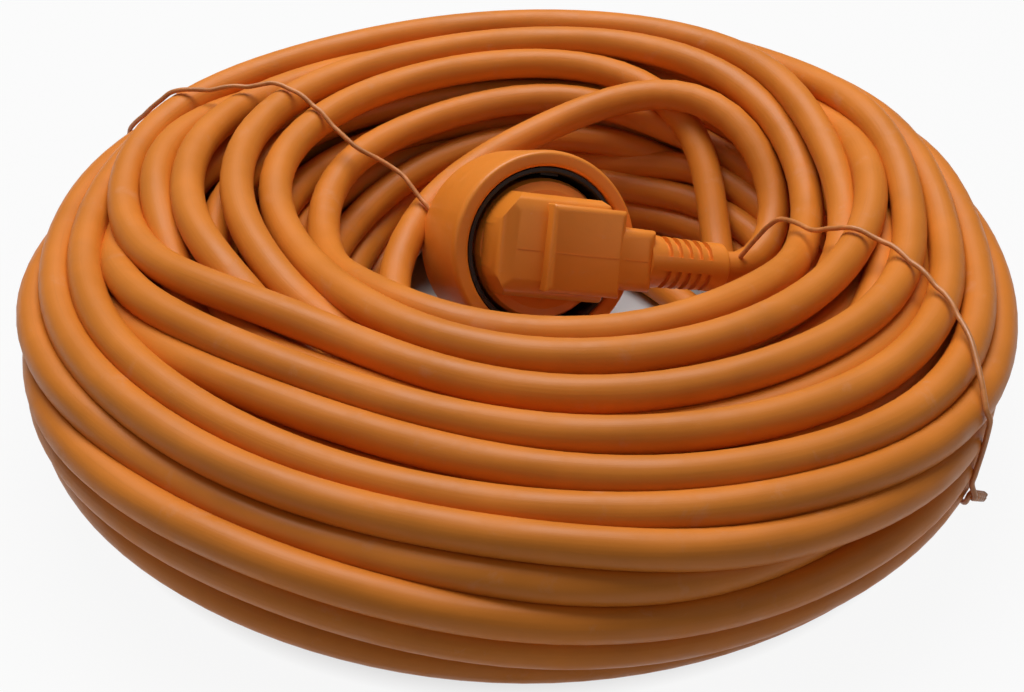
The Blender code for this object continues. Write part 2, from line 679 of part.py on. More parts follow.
def side_groove(side):
    """Groove in the disc's edge for one leg of the earth strip, open inwards."""
    half = STRIP_WIDTH / 2 + GAP
    floor = STRIP_FACE - STRIP_THICKNESS - GAP
    low_x, high_x = sorted((side * floor, side * (PLUG_RADIUS + 0.002)))
    groove = box(f"side_groove_{side}", (low_x, -half, FACE - 0.001),
                 (high_x, half, STRIP_LEVEL + STRIP_THICKNESS / 2 + GAP))
    low_x, high_x = sorted((side * 0.0035, side * (PLUG_RADIUS - 0.001)))
    slot = box(f"strip_slot_{side}", (low_x, -half, BRIDGE_TOP),
               (high_x, half, STRIP_LEVEL + STRIP_THICKNESS / 2 + GAP))
    return join(groove, slot)


def guide_notch(side):
    """Notch that runs over a guide rib of the recess."""
    half = GUIDE_WIDTH / 2 + 0.0004
    low_y, high_y = sorted((side * (RECESS_RADIUS - GUIDE_HEIGHT - 0.0008),
                            side * (PLUG_RADIUS + 0.002)))
    return box(f"guide_notch_{side}", (-half, low_y, FACE - 0.001),
               (half, high_y, DISC_TOP - 0.0030))


def make_plug_bridge():
    bridge = cylinder("plug_bridge", BRIDGE_RADIUS, FACE, BRIDGE_TOP, sides=32,
                      paint=BLACK_INSERT, collection=PARTS)
    for pole, y in PIN_PLACES.items():
        cut(bridge, cylinder(f"pin_hole_{pole}", PIN_RADIUS + PIN_CLEARANCE, FACE - 0.001,
                             BRIDGE_TOP + 0.001, (0.0, y), sides=20))
    cut(bridge, cylinder("earth_hole", SLEEVE_OUTER + GAP, FACE - 0.001,
                         BRIDGE_TOP + 0.001, (-EARTH_HOLE_OFFSET, 0.0), sides=20))
    return smooth(bridge)


def make_plug_pins():
    shoulder = BRIDGE_TOP + GAP
    flange = PIN_RADIUS + FLANGE_WIDTH
    for pole, y in PIN_PLACES.items():
        pin = turned(f"plug_pin_{pole}", [
            (0.0, shoulder + CRIMP_LENGTH - 0.004), (CRIMP_RADIUS - 0.0006, shoulder + CRIMP_LENGTH - 0.004),
            (CRIMP_RADIUS - 0.0006, shoulder + CRIMP_LENGTH), (CRIMP_RADIUS, shoulder + CRIMP_LENGTH),
            (CRIMP_RADIUS, shoulder + 0.0010), (flange, shoulder + 0.0010),
            (flange, shoulder), (PIN_RADIUS, shoulder),
            (PIN_RADIUS, PIN_TIP + 0.0016), (PIN_RADIUS - 0.0005, PIN_TIP + 0.0006),
            (PIN_RADIUS - 0.0014, PIN_TIP), (0.0, PIN_TIP)], NICKEL, sides=20)
        pin.location = (0.0, y, 0.0)
        smooth(pin)


def make_plug_earth():
    """U-shaped strip whose legs are the plug's two side contacts."""
    half = STRIP_THICKNESS / 2
    leg = STRIP_FACE - half
    strip = strip_outline([(-leg, FACE + 0.0012), (-leg, STRIP_LEVEL), (leg, STRIP_LEVEL),
                           (leg, FACE + 0.0012)],
                          STRIP_THICKNESS, "plug_earth_strip", NICKEL, STRIP_WIDTH)
    crimp = cylinder("plug_earth_crimp", CRIMP_RADIUS, STRIP_LEVEL - half / 2,
                     STRIP_LEVEL + 0.0050, (0.0, 0.0), sides=12)
    join(strip, crimp)
    top = BRIDGE_TOP
    socket = turned("plug_earth_socket", [
        (SLEEVE_INNER, top), (SLEEVE_OUTER, top), (SLEEVE_OUTER, FACE + 0.0010),
        (SLEEVE_INNER, FACE + 0.0010)], NICKEL, closed=True, sides=20)
    socket.location = (-EARTH_HOLE_OFFSET, 0.0, 0.0)
    smooth(socket)


# ---------------------------------------------------------------- wiring
def wire(name, points, paint):
    """One insulated core, in the connector's frame."""
    tube(name, smooth_route(points, 0.0035), CORE_WIRE_DIAMETER, paint, 1, CONNECTOR)


def cord_stub(name, start, end, matrix):
    """The jacketed end of the cord inside a strain relief."""
    low, high = sorted((start, end))
    stub = cylinder(name, CORD_DIAMETER / 2, low, high, sides=16, paint=ORANGE_CORD,
                    collection=PARTS)
    stub.data.transform(matrix)
    return smooth(stub)


def make_wiring():
    offsets = {"live": 1.0, "neutral": -1.0}
    paints = {"live": BROWN_CORE, "neutral": BLUE_CORE}
    lay = CORE_WIRE_DIAMETER / 2 + GAP
    spread = CORE_SPREAD * lay
    # coupler: from the crimps back to the jacket's end
    jacket = COUPLER_NECK - 0.0035
    tail = SLEEVE_BACK - CRIMP_LENGTH - GAP
    clear = min(tail, -INSERT_DEPTH) - WIRE_START
    for pole, side in offsets.items():
        y = PIN_PLACES[pole]
        wire(f"coupler_core_{pole}", [
            (0.0, y, tail), (0.0, y, clear),
            (-lay, side * spread, COUPLER_NECK + 0.0020), (-lay, side * spread, jacket + GAP)],
            paints[pole])
    bracket_tail = BRACKET_LEVEL + STRIP_THICKNESS / 2 - 0.006 - GAP
    wire("coupler_core_earth", [
        (0.0, 0.0, bracket_tail), (0.0, 0.0, bracket_tail - WIRE_START),
        (spread, 0.0, COUPLER_NECK + 0.0020), (spread, 0.0, jacket + GAP)], EARTH_CORE)
    cord_stub("coupler_cord_end", jacket, COUPLER_END, Matrix.Identity(4))
    # plug: from the pins over to the jacket's end
    jacket = NECK_END - 0.0030
    top = BRIDGE_TOP + GAP + CRIMP_LENGTH + GAP
    for pole, side in offsets.items():
        y = PIN_PLACES[pole]
        wire(f"plug_core_{pole}", [
            (0.0, y, top), (0.0, y, top + WIRE_START),
            (0.0045, y * 0.75, 0.0010), (BLOCK_END - PLUG_WALL, side * 0.0030, EXIT_HEIGHT - lay),
            (jacket - 0.0020, side * spread, EXIT_HEIGHT - lay),
            (jacket - GAP, side * spread, EXIT_HEIGHT - lay)], paints[pole])
    strip_top = STRIP_LEVEL + 0.0050 + GAP
    wire("plug_core_earth", [
        (0.0, 0.0, strip_top), (0.0, 0.0, strip_top + WIRE_START), (0.0042, 0.0, 0.0035),
        (0.0115, 0.0, EXIT_HEIGHT + lay), (jacket - 0.0020, 0.0, EXIT_HEIGHT + lay),
        (jacket - GAP, 0.0, EXIT_HEIGHT + lay)],
        EARTH_CORE)
    cord_stub("plug_cord_end", jacket, PLUG_END, ALONG_X)


# ---------------------------------------------------------------- free leads
PLUG_LEAD_ROUTE = [                 # inside the hole, from the plug round the back
    (0.0655, 0.0215, 0.0300), (0.0655, 0.0340, 0.0345), (0.0545, 0.0485, 0.0400),
    (0.0390, 0.0590, 0.0430), (0.0200, 0.0635, 0.0435), (0.0010, 0.0615, 0.0410),
    (-0.0155, 0.0530, 0.0380), (-0.0272, 0.0388, 0.0350), (-0.0345, 0.0225, 0.0325),
    (-0.0375, 0.0050, 0.0300), (-0.0325, -0.0130, 0.0280), (-0.0215, -0.0285, 0.0260)]
COUPLER_LEAD_TARGET = 224.0         # degrees round the hidden turns' section
COUPLER_LEAD_AZIMUTH = 109.0


def make_leads(winding):
    lead_gap = GAP
    exit_point = in_world((PLUG_END + lead_gap, 0.0, EXIT_HEIGHT))
    exit_way = direction_in_world((1, 0, 0))
    start = winding[0]
    way = (winding[1] - winding[0]).normalized()
    route = [exit_point, exit_point + exit_way * CORD_DIAMETER * 0.8,
             *[Vector(point) for point in PLUG_LEAD_ROUTE],
             start - way * (CORD_DIAMETER + lead_gap), start - way * lead_gap]
    tube("lead_to_plug", smooth_route(route, 2.2 * CORD_DIAMETER), CORD_DIAMETER,
         ORANGE_CORD, 2)
    azimuth = math.radians(COUPLER_LEAD_AZIMUTH)
    angle = math.radians(COUPLER_LEAD_TARGET)
    inset = CORD_DIAMETER + LAYER_GAP
    target = section_point(azimuth, angle, inset)
    along = section_point(azimuth + 0.01, angle, inset) - target
    across = section_point(azimuth, angle + 0.01, inset) - target
    normal = along.cross(across).normalized()
    leave = in_world((0.0, 0.0, COUPLER_END - lead_gap))
    back = direction_in_world((0, 0, -1))
    clear = 3 * lead_gap
    route = [leave, leave + back * 0.004, target + normal * (0.004 + clear),
             target + normal * clear]
    tube("lead_to_coupler", smooth_route(route, 0.6 * CORD_DIAMETER), CORD_DIAMETER,
         ORANGE_CORD, 2)


def main():
    winding = make_bundle()
    for name, azimuth in TIE_AZIMUTHS.items():
        make_tie(name, azimuth)
    make_coupler_shell()
    make_coupler_insert()
    make_coupler_contacts()
    make_coupler_earth()
    make_plug_body()
    make_plug_bridge()
    make_plug_pins()
    make_plug_earth()
    make_wiring()
    make_leads(winding)


main()
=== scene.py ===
"""Looks of a shore power cord, wound into a bundle round its own plug and coupler
and held by two wire ties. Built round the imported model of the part."""
import json
import math

import bmesh
import bpy
import numpy as np
from mathutils import Matrix, Vector
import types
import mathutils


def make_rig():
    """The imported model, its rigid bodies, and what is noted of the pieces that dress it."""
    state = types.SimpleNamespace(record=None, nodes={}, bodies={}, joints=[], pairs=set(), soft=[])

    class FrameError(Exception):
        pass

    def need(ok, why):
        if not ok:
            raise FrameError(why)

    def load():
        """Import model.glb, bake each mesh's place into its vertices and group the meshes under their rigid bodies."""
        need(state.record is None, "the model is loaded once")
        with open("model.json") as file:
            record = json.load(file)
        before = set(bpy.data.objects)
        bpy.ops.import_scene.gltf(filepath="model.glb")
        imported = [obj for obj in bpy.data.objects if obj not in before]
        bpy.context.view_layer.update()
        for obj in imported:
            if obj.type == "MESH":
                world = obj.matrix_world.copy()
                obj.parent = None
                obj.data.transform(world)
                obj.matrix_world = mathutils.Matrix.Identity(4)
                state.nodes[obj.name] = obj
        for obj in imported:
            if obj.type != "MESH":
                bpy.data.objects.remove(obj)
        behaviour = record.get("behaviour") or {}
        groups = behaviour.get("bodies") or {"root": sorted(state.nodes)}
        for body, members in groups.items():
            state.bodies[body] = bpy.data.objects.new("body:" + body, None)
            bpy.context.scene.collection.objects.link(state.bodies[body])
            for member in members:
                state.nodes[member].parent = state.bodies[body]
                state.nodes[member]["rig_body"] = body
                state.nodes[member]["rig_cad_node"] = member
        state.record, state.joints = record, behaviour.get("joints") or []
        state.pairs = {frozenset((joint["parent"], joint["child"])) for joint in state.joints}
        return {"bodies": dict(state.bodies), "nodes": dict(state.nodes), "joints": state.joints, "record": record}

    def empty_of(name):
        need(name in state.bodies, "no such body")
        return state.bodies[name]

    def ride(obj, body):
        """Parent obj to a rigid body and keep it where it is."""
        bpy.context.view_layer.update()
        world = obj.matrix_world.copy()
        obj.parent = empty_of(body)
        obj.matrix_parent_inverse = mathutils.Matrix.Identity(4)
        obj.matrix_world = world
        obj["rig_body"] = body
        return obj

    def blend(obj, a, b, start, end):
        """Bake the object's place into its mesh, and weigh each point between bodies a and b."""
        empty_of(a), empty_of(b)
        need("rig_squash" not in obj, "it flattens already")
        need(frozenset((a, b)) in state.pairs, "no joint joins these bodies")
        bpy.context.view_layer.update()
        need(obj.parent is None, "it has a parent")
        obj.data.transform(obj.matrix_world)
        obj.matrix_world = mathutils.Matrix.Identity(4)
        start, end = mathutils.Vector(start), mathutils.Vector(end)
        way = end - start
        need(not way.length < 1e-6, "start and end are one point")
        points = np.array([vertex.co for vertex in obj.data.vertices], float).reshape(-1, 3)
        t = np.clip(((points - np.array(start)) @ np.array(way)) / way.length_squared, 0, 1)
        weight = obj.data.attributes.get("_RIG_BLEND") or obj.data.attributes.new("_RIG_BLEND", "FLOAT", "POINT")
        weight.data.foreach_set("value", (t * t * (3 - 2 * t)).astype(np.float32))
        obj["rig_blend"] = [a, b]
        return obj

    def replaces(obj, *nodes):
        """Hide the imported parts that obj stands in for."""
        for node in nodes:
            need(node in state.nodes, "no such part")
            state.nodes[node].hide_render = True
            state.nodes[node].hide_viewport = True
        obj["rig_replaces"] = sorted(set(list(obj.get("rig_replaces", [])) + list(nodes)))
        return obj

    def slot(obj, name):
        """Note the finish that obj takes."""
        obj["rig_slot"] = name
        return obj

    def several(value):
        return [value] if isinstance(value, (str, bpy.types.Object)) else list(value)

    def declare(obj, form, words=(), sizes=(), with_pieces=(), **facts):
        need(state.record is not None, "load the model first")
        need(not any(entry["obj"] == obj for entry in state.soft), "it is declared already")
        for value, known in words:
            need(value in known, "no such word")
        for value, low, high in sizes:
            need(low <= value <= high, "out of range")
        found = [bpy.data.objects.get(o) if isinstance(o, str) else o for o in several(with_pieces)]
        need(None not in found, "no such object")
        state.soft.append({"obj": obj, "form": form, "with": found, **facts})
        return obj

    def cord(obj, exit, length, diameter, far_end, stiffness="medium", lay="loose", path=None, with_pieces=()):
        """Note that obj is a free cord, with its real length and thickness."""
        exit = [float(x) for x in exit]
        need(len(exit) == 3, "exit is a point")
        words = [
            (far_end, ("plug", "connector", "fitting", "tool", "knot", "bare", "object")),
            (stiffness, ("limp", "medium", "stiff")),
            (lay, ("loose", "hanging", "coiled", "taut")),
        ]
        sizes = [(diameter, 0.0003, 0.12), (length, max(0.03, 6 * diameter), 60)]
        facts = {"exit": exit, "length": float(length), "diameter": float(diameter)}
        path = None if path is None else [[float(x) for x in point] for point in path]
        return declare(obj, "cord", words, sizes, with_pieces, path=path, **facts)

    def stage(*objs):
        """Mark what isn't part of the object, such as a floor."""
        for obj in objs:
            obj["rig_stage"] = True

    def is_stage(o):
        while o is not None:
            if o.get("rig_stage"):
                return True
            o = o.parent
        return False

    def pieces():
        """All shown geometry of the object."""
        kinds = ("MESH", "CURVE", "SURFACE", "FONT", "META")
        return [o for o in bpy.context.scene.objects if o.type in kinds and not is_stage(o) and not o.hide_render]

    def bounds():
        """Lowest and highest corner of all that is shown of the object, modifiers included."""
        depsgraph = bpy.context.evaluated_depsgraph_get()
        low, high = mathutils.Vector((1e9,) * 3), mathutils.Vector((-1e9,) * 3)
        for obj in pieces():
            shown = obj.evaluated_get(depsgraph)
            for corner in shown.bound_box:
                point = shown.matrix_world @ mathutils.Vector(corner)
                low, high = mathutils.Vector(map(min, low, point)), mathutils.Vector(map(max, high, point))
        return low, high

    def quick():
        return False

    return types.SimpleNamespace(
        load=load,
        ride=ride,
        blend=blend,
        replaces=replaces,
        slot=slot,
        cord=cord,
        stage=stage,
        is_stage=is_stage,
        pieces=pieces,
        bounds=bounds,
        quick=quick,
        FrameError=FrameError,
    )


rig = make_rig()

bl_info = {
    "name": "Shore Power Cord",
    "version": (1, 0, 0),
    "blender": (4, 5, 0),
    "location": "3D View > Sidebar > Shore Cord",
    "description": "Builds the wound cord, its ties, finishes and studio",
    "category": "Object",
}

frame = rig.load()
CAD_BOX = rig.bounds()
BUNDLE, PLUG = "bundle", "plug"

# ---------------------------------------------------------------- the winding
# Lengths are millimetres and angles degrees here. settled_cord turns them to metres.
STATIONS = 48                       # points per turn
STEP = 360.0 / STATIONS
WINDING_START = 285.0               # where the plug's lead joins the winding
BUNDLE_RADIUS = 124.8
BUNDLE_HEIGHT = 61.2
HOLE_RADIUS = 60.0
HOLE_CENTRE = (16.0, 10.0)
FULL_HEIGHT = 1.014                 # share of the bundle's height that the turns may fill
WIDEST_HEIGHT = 0.493               # where the section is widest, as a share of the height
OUTER_SQUARENESS = 2.7              # 2 is an ellipse, more is squarer
INNER_SQUARENESS = 2.0
FRONT_SQUARENESS = 1.8              # more of it at the front, for the inner upper edge
FOOT_SQUARENESS = 2.2
FRONT_MEAN, FRONT_SWING = 0.2, 1.3  # how the front and the back fade into the sides
BACK_SWING = 1.5
BACK_STRETCH = 0.12                 # share by which the back may stand further out
FOOT_REACH = 14.0                   # how far the lowest turns stand into the hole
FRONT_FOOT_LOSS = 0.6               # share of that which the front lacks
SLOPE_ALLOWANCE = 0.8               # how far the top turns may stand above FRONT_SLOPE

HIDDEN_TURNS = 26                   # turns under the top layer
BURIED_FROM = 10                    # from this turn on, they keep under that layer
BURIED_INSET = 0.55                 # by this share of a diameter
# Their place in the section: at some turns, degrees round it and mm in from its skin.
HIDDEN_ANGLES = ((0, 10, 21, 25, HIDDEN_TURNS), (192, 318, -22, 313, 170))
HIDDEN_INSETS = ((0, 9.7, 10.3, 20.7, 21.3, 24.6, 25.4, HIDDEN_TURNS),
                 (0, 0, 7.6, 7.6, 15.2, 15.2, 19, 12))
WANDER_WAVES = 6                    # slow waves that keep the hidden turns uneven
WANDER_RADIUS, WANDER_HEIGHT = 0.8, 0.6

# One low turn sags into the hole on the right: which, where, how wide and how far.
LOOSE_TURN = 4
LOOSE_AZIMUTH, LOOSE_SPREAD = 34.0, 86.0
LOOSE_REACH = 26.0
LOOSE_PULL = 0.2

# Pressing the turns together: least distances between their centre lines, in
# diameters, for two turns that show, one that shows and none.
BOTH_SHOWN, ONE_SHOWN, NONE_SHOWN = 0.965, 0.94, 0.90
SHOWN_MOBILITY = 0.12               # how easily a turn that shows is pushed
PUSH_LIMIT = 1.2                    # most that a turn is pushed in one round
# How strongly turns are drawn to their first places: those that show at the start and
# the end of the pressing, hidden ones, and the last one's end.
SHOWN_PULL, LASTING_PULL, HIDDEN_PULL, END_PULL = 0.16, 0.03, 0.004, 0.3
PULL_FADING = 1.2
END_REACH, END_BLEND = 75.0, 60.0   # degrees over which that end goes to the coupler
KINK_EASE, BEND_EASE = 0.055, 0.04
SETTLE_ROUNDS, QUICK_ROUNDS = 420, 120
LINE_EASE, LINE_EASE_ROUNDS = 0.06, 60
FAR_AWAY = 1e4                      # fills the places where there is no turn
TINY = 1e-6

# The plug's lead: out of the plug, up the hole's wall, over the top at the back
# and down the left wall to the winding.
LEAD_ROUTE = (
    (54.0, 12.5, 27.2), (56.7, 13.4, 26.4), (61.7, 16.3, 25.7), (67.0, 21.2, 26.5),
    (69.8, 26.2, 28.5), (71.0, 31.6, 31.5), (70.8, 37.2, 35.2), (69.6, 42.8, 39.0),
    (67.4, 48.2, 42.6), (64.2, 53.2, 46.0), (60.2, 57.6, 48.8), (55.4, 61.6, 50.6),
    (49.8, 65.0, 51.4), (43.2, 67.4, 51.2), (36.4, 68.4, 50.3), (29.2, 67.9, 48.8),
    (22.0, 66.3, 47.0), (14.6, 63.8, 45.0), (6.9, 60.3, 43.0), (-1.6, 55.3, 41.0),
    (-10.0, 48.6, 39.0), (-16.8, 41.6, 37.5), (-23.4, 31.3, 35.5), (-28.3, 19.7, 33.0),
    (-30.9, 9.3, 31.0), (-31.6, -1.0, 29.5), (-29.6, -13.0, 28.0), (-24.0, -25.0, 26.8),
    (-15.0, -36.0, 25.8), (-2.0, -45.5, 24.8))
LEAD_SEAM = 16                      # the lead's own piece ends at this point
LEAD_RINGS = 120                    # the seam's ring is looked for among these first ones
SEAM_GAP = 0.12                     # share of a ring step, to the rings beside the seam

# The top layer, turn by turn from the hole outwards: radius and height at every
# TOP_STEP degrees.
TOP_STEP = 15.0
TOP_END = 5880.0                    # where the layer ends, from its start
TOP_TURNS = (
    ((60,30),(64,29),(69,27),(73,25),(77,23),(81,21),(83,20),(84,21),
     (83,23),(80,30),(77,35),(72,34),(67,33),(62,32),(57,29),(53,27),
     (49,28),(46,30),(46,32),(46,34),(46,37),(47,39),(48,41),(51,43)),
    ((52,20),(53,16),(54,13),(55,12),(56,11),(56,11),(56,12),(59,15),
     (76,37),(84,47),(87,53),(84,53),(80,53),(77,53),(72,53),(69,53),
     (65,52),(60,50),(53,48),(51,49),(53,52),(57,54),(61,54),(65,54)),
    ((68,54),(72,54),(75,54),(76,51),(81,49),(89,53),(94,55),(98,56),
     (101,54),(103,51),(104,49),(104,49),(102,49),(99,49),(96,50),(93,55),
     (88,57),(82,57),(77,56),(73,52),(72,47),(72,45),(73,44),(76,43)),
    ((80,44),(84,45),(87,46),(90,47),(92,47),(94,47),(95,47),(96,47),
     (98,47),(100,47),(102,48),(104,48),(105,48),(106,49),(105,51),(103,54),
     (98,56),(91,56),(86,51),(84,47),(83,46),(84,44),(86,42),(88,41)),
    ((92,40),(95,40),(99,41),(102,42),(105,43),(107,45),(109,46),(110,46),
     (110,45),(110,45),(110,44),(110,44),(110,44),(109,44),(109,44),(108,44),
     (107,44),(105,44),(103,47),(97,50),(91,49),(87,47),(88,47),(94,47)),
    ((102,47),(109,47),(115,47),(117,48),(115,51),(113,52),(114,49),(114,46),
     (114,44),(114,42),(114,40),(114,39),(113,38),(112,38),(110,38),(108,38),
     (105,38),(101,38),(97,38),(92,38),(89,38),(87,38),(86,37),(85,36)),
    ((84,35),(84,34),(83,33),(83,31),(82,29),(82,28),(82,27),(83,29),
     (84,38),(83,45),(81,46),(76,45),(71,44),(66,43),(62,44),(58,43),
     (52,40),(46,38),(46,42),(47,49),(48,53),(50,54),(52,54),(53,54)),
    ((56,54),(58,54),(61,54),(64,53),(67,47),(71,38),(79,37),(89,48),
     (94,54),(97,56),(95,56),(91,56),(87,56),(85,57),(83,57),(80,56),
     (74,56),(69,54),(65,53),(61,51),(60,47),(62,45),(64,44),(66,44)),
    ((68,44),(70,44),(72,44),(74,44),(78,44),(84,46),(91,52),(97,56),
     (103,56),(107,56),(107,56),(104,56),(100,57),(98,57),(101,56),(108,53),
     (107,53),(97,56),(86,57),(75,55),(68,53),(67,52),(70,52),(75,52)),
    ((80,52),(83,52),(87,52),(92,54),(96,56),(98,57),(100,57),(101,56),
     (106,53),(110,51),(112,49),(113,48),(114,47),(114,47),(113,47),(112,47),
     (110,47),(106,50),(100,55),(93,54),(83,51),(79,50),(81,50),(86,50)),
    ((91,50),(96,50),(101,50),(105,52),(107,55),(107,56),(110,54),(114,49),
     (116,46),(117,44),(118,43),(118,42),(118,42),(117,43),(115,44),(114,46),
     (111,50),(108,53),(106,54),(106,51),(103,47),(100,45),(100,44),(104,44)),
    ((110,44),(115,44),(119,44),(120,44),(120,44),(120,44),(119,43),(119,41),
     (120,39),(120,37),(120,36),(120,36),(120,36),(119,38),(118,40),(116,43),
     (114,47),(113,50),(112,50),(112,48),(110,43),(108,42),(108,42),(112,42)),
    ((117,42),(120,41),(120,40),(120,36),(120,33),(120,32),(120,31),(120,31),
     (120,30),(120,29),(120,29),(120,30),(120,32),(119,34),(119,37),(119,41),
     (118,43),(118,43),(119,42),(117,41),(114,39),(111,37),(112,37),(117,37)),
    ((120,35),(120,34),(120,32),(120,29),(120,26),(120,24),(120,23),(120,22),
     (120,22),(120,22),(120,22),(120,23),(120,23),(120,25),(120,27),(120,30),
     (120,34),(120,36),(120,36),(120,34),(120,35),(120,37),(120,35),(120,31)),
    ((120,27),(120,24),(120,21),(120,19),(120,18),(120,17),(120,16),(120,15),
     (120,15),(120,15),(120,15),(120,15),(120,15),(120,16),(120,17),(120,19),
     (120,22),(120,26),(120,27),(120,27),(120,28),(120,29),(120,26),(120,21)),
    ((118,16),(117,14),(118,15),(119,15),(118,12),(118,9),(117,8),(115,7),
     (115,7),(115,7),(115,7),(115,7),(115,7),(115,7),(116,8),(117,10),
     (117,12),(118,14),(119,17),(119,19),(119,19),(119,18),(117,15),(116,12)),
    ((116,12),(116,13),(118,14),(116,12),(112,8),(109,6),(108,5),(106,5),
     (106,5),(105,5),(105,5),(105,5),(105,5),(105,5)),
)
# Where those turns show, in degrees from the first one's start.
SHOWN_RUNS = (
    (120, 225), (450, 848), (945, 1012), (1298, 1350), (1725, 1882), (2272, 2820),
    (2955, 3360), (3502, 3698), (3848, 4050), (4215, 4365), (4575, 4732),
    (4950, 5092), (5302, 5460), (5670, 5812))

# The front of the top layer slopes outwards: radius, height.
FRONT_SLOPE = ((40, 57), (62, 55), (78, 53.3), (88, 50.5), (98, 48), (107, 45.5),
               (114, 42.5), (120, 37), (124, 30))

# The last turn leaves the winding at the back and curls into the coupler. Going
# backwards from the coupler: a start, a heading, then (length, radius) of each bend.
COUPLER_EXIT = (-16.5, 58.9, 9.5)
TAIL_HEADING = 114.8
TAIL_BENDS = ((22.0, 50.0), (62.6, 36.0), (26.0, 60.0), (42.0, 118.0))
TAIL_RISE = 22.2                    # length over which it rises from the floor


def hole_edge(azimuth):
    """Distance from the axis to the hole's wall."""
    angle = np.radians(azimuth)
    across = HOLE_CENTRE[0] * np.sin(angle) - HOLE_CENTRE[1] * np.cos(angle)
    along = HOLE_CENTRE[0] * np.cos(angle) + HOLE_CENTRE[1] * np.sin(angle)
    return along + np.sqrt(HOLE_RADIUS ** 2 - across ** 2)


def tail_route(diameter):
    """The coupler's end of the cord, from the winding to the coupler."""
    x, y, heading, run = COUPLER_EXIT[0], COUPLER_EXIT[1], math.radians(TAIL_HEADING), 0.0
    floor = diameter / 2 + 0.05
    points = []
    for length, bend in TAIL_BENDS:
        pieces = round(length / 2)
        for _ in range(pieces):
            rise = max(0.0, 1 - run / TAIL_RISE) ** 2 * (COUPLER_EXIT[2] - floor)
            points.append((x, y, floor + rise))
            step = length / pieces
            middle = heading - step / bend / 2
            x, y = x + step * math.cos(middle), y + step * math.sin(middle)
            heading -= step / bend
            run += step
    return np.array(points[::-1])


class Section:
    """The room that the turns have at each station."""

    def __init__(self, azimuth, diameter):
        inner = hole_edge(azimuth)
        self.centre = (BUNDLE_RADIUS + inner) / 2
        self.half_width = (BUNDLE_RADIUS - inner - diameter) / 2
        self.half_height = (FULL_HEIGHT * BUNDLE_HEIGHT - diameter) / 2
        self.centre_height = WIDEST_HEIGHT * BUNDLE_HEIGHT
        sine = np.sin(np.radians(azimuth))
        self.front = np.clip(FRONT_MEAN - FRONT_SWING * sine, 0, 1)
        self.inner_upper = INNER_SQUARENESS + FRONT_SQUARENESS * self.front
        behind = np.clip(BACK_SWING * sine, 0, 1)
        self.outer_stretch = 1.0 + BACK_STRETCH * behind
        self.foot = FOOT_REACH * (1 - FRONT_FOOT_LOSS * self.front)

    def point(self, angle, inset):
        """Radius and height at an angle round the section."""
        angle = np.radians(angle)
        cosine, sine = np.cos(angle), np.sin(angle)
        power = 2 / np.where(cosine > 0, OUTER_SQUARENESS, INNER_SQUARENESS)
        radius = (self.centre
                  + (self.half_width - inset) * np.sign(cosine) * np.abs(cosine) ** power)
        radius -= self.foot * np.clip(-cosine, 0, 1) * np.clip(-2 * sine, 0, 1)
        height = (self.centre_height
                  + (self.half_height - inset) * np.sign(sine) * np.abs(sine) ** power)
        return radius, height

    def keep(self, radius, height, inset):
        """Bring points that stand out of the section back to its skin."""
        wide = self.half_width * np.where(radius > self.centre, self.outer_stretch, 1.0)
        wide = wide - np.where(height > 0.7 * self.centre_height, inset, 0)
        low = np.clip(1.6 * (self.centre_height - height) / self.half_height, 0, 1)
        wide = wide + np.where(radius < self.centre, low * self.foot, 0)
        tall = self.half_height - np.where(height > self.centre_height, inset, 0)
        outwards = (radius - self.centre) / wide
        upwards = (height - self.centre_height) / tall
        power = np.where(outwards > 0, OUTER_SQUARENESS,
                         np.where(upwards > 0, self.inner_upper, FOOT_SQUARENESS))
        size = (np.abs(outwards) ** power + np.abs(upwards) ** power) ** (1 / power)
        share = np.where(size > 1, 1 / size, 1.0)
        radius = self.centre + (radius - self.centre) * share
        height = self.centre_height + (height - self.centre_height) * share
        slope = np.interp(radius, *zip(*FRONT_SLOPE)) - inset
        lowered = np.minimum(height, slope + SLOPE_ALLOWANCE)
        return radius, height + (lowered - height) * self.front


def loose_share(azimuth):
    """How much of the loose turn's sag a point has."""
    away = (azimuth - LOOSE_AZIMUTH - 360 * LOOSE_TURN) / LOOSE_SPREAD
    return np.cos(np.radians(90 * np.clip(away, -1, 1))) ** 2


def winding_route(diameter, rng):
    """First places of all turns: azimuth, radius, height, and 1 where a turn shows."""
    azimuth = WINDING_START + np.arange(HIDDEN_TURNS * STATIONS) * STEP
    turn = (azimuth - WINDING_START) / 360
    angle, inset = np.interp(turn, *HIDDEN_ANGLES), np.interp(turn, *HIDDEN_INSETS)
    radius, height = Section(azimuth, diameter).point(angle, inset)
    for _ in range(WANDER_WAVES):
        pace, phase, size = rng.uniform(0.15, 0.9), rng.uniform(0, 6), rng.normal()
        radius += WANDER_RADIUS * size * np.sin(np.radians(azimuth) * pace + phase)
        height += WANDER_HEIGHT * size * np.sin(np.radians(azimuth) * pace * 1.3 + 2 * phase)
    sag = loose_share(azimuth)
    radius -= sag * LOOSE_REACH
    height += sag * (diameter / 2 - height)
    table = np.array([pair for turn in TOP_TURNS for pair in turn], float)
    coarse = np.arange(len(table)) * TOP_STEP
    way = np.arange(0, TOP_END + STEP / 2, STEP)
    shown = np.zeros(len(way))
    for start, end in SHOWN_RUNS:
        shown[(way >= start) & (way <= end)] = 1
    return (np.concatenate([azimuth, WINDING_START + 360 * HIDDEN_TURNS + way]),
            np.concatenate([radius, np.interp(way, coarse, table[:, 0])]),
            np.concatenate([height, np.interp(way, coarse, table[:, 1])]),
            np.concatenate([np.zeros(len(azimuth)), shown]))


def kinks(values):
    """Fourth differences of a run of numbers or points."""
    return values[:-4] - 4 * values[1:-3] + 6 * values[2:-2] - 4 * values[3:-1] + values[4:]


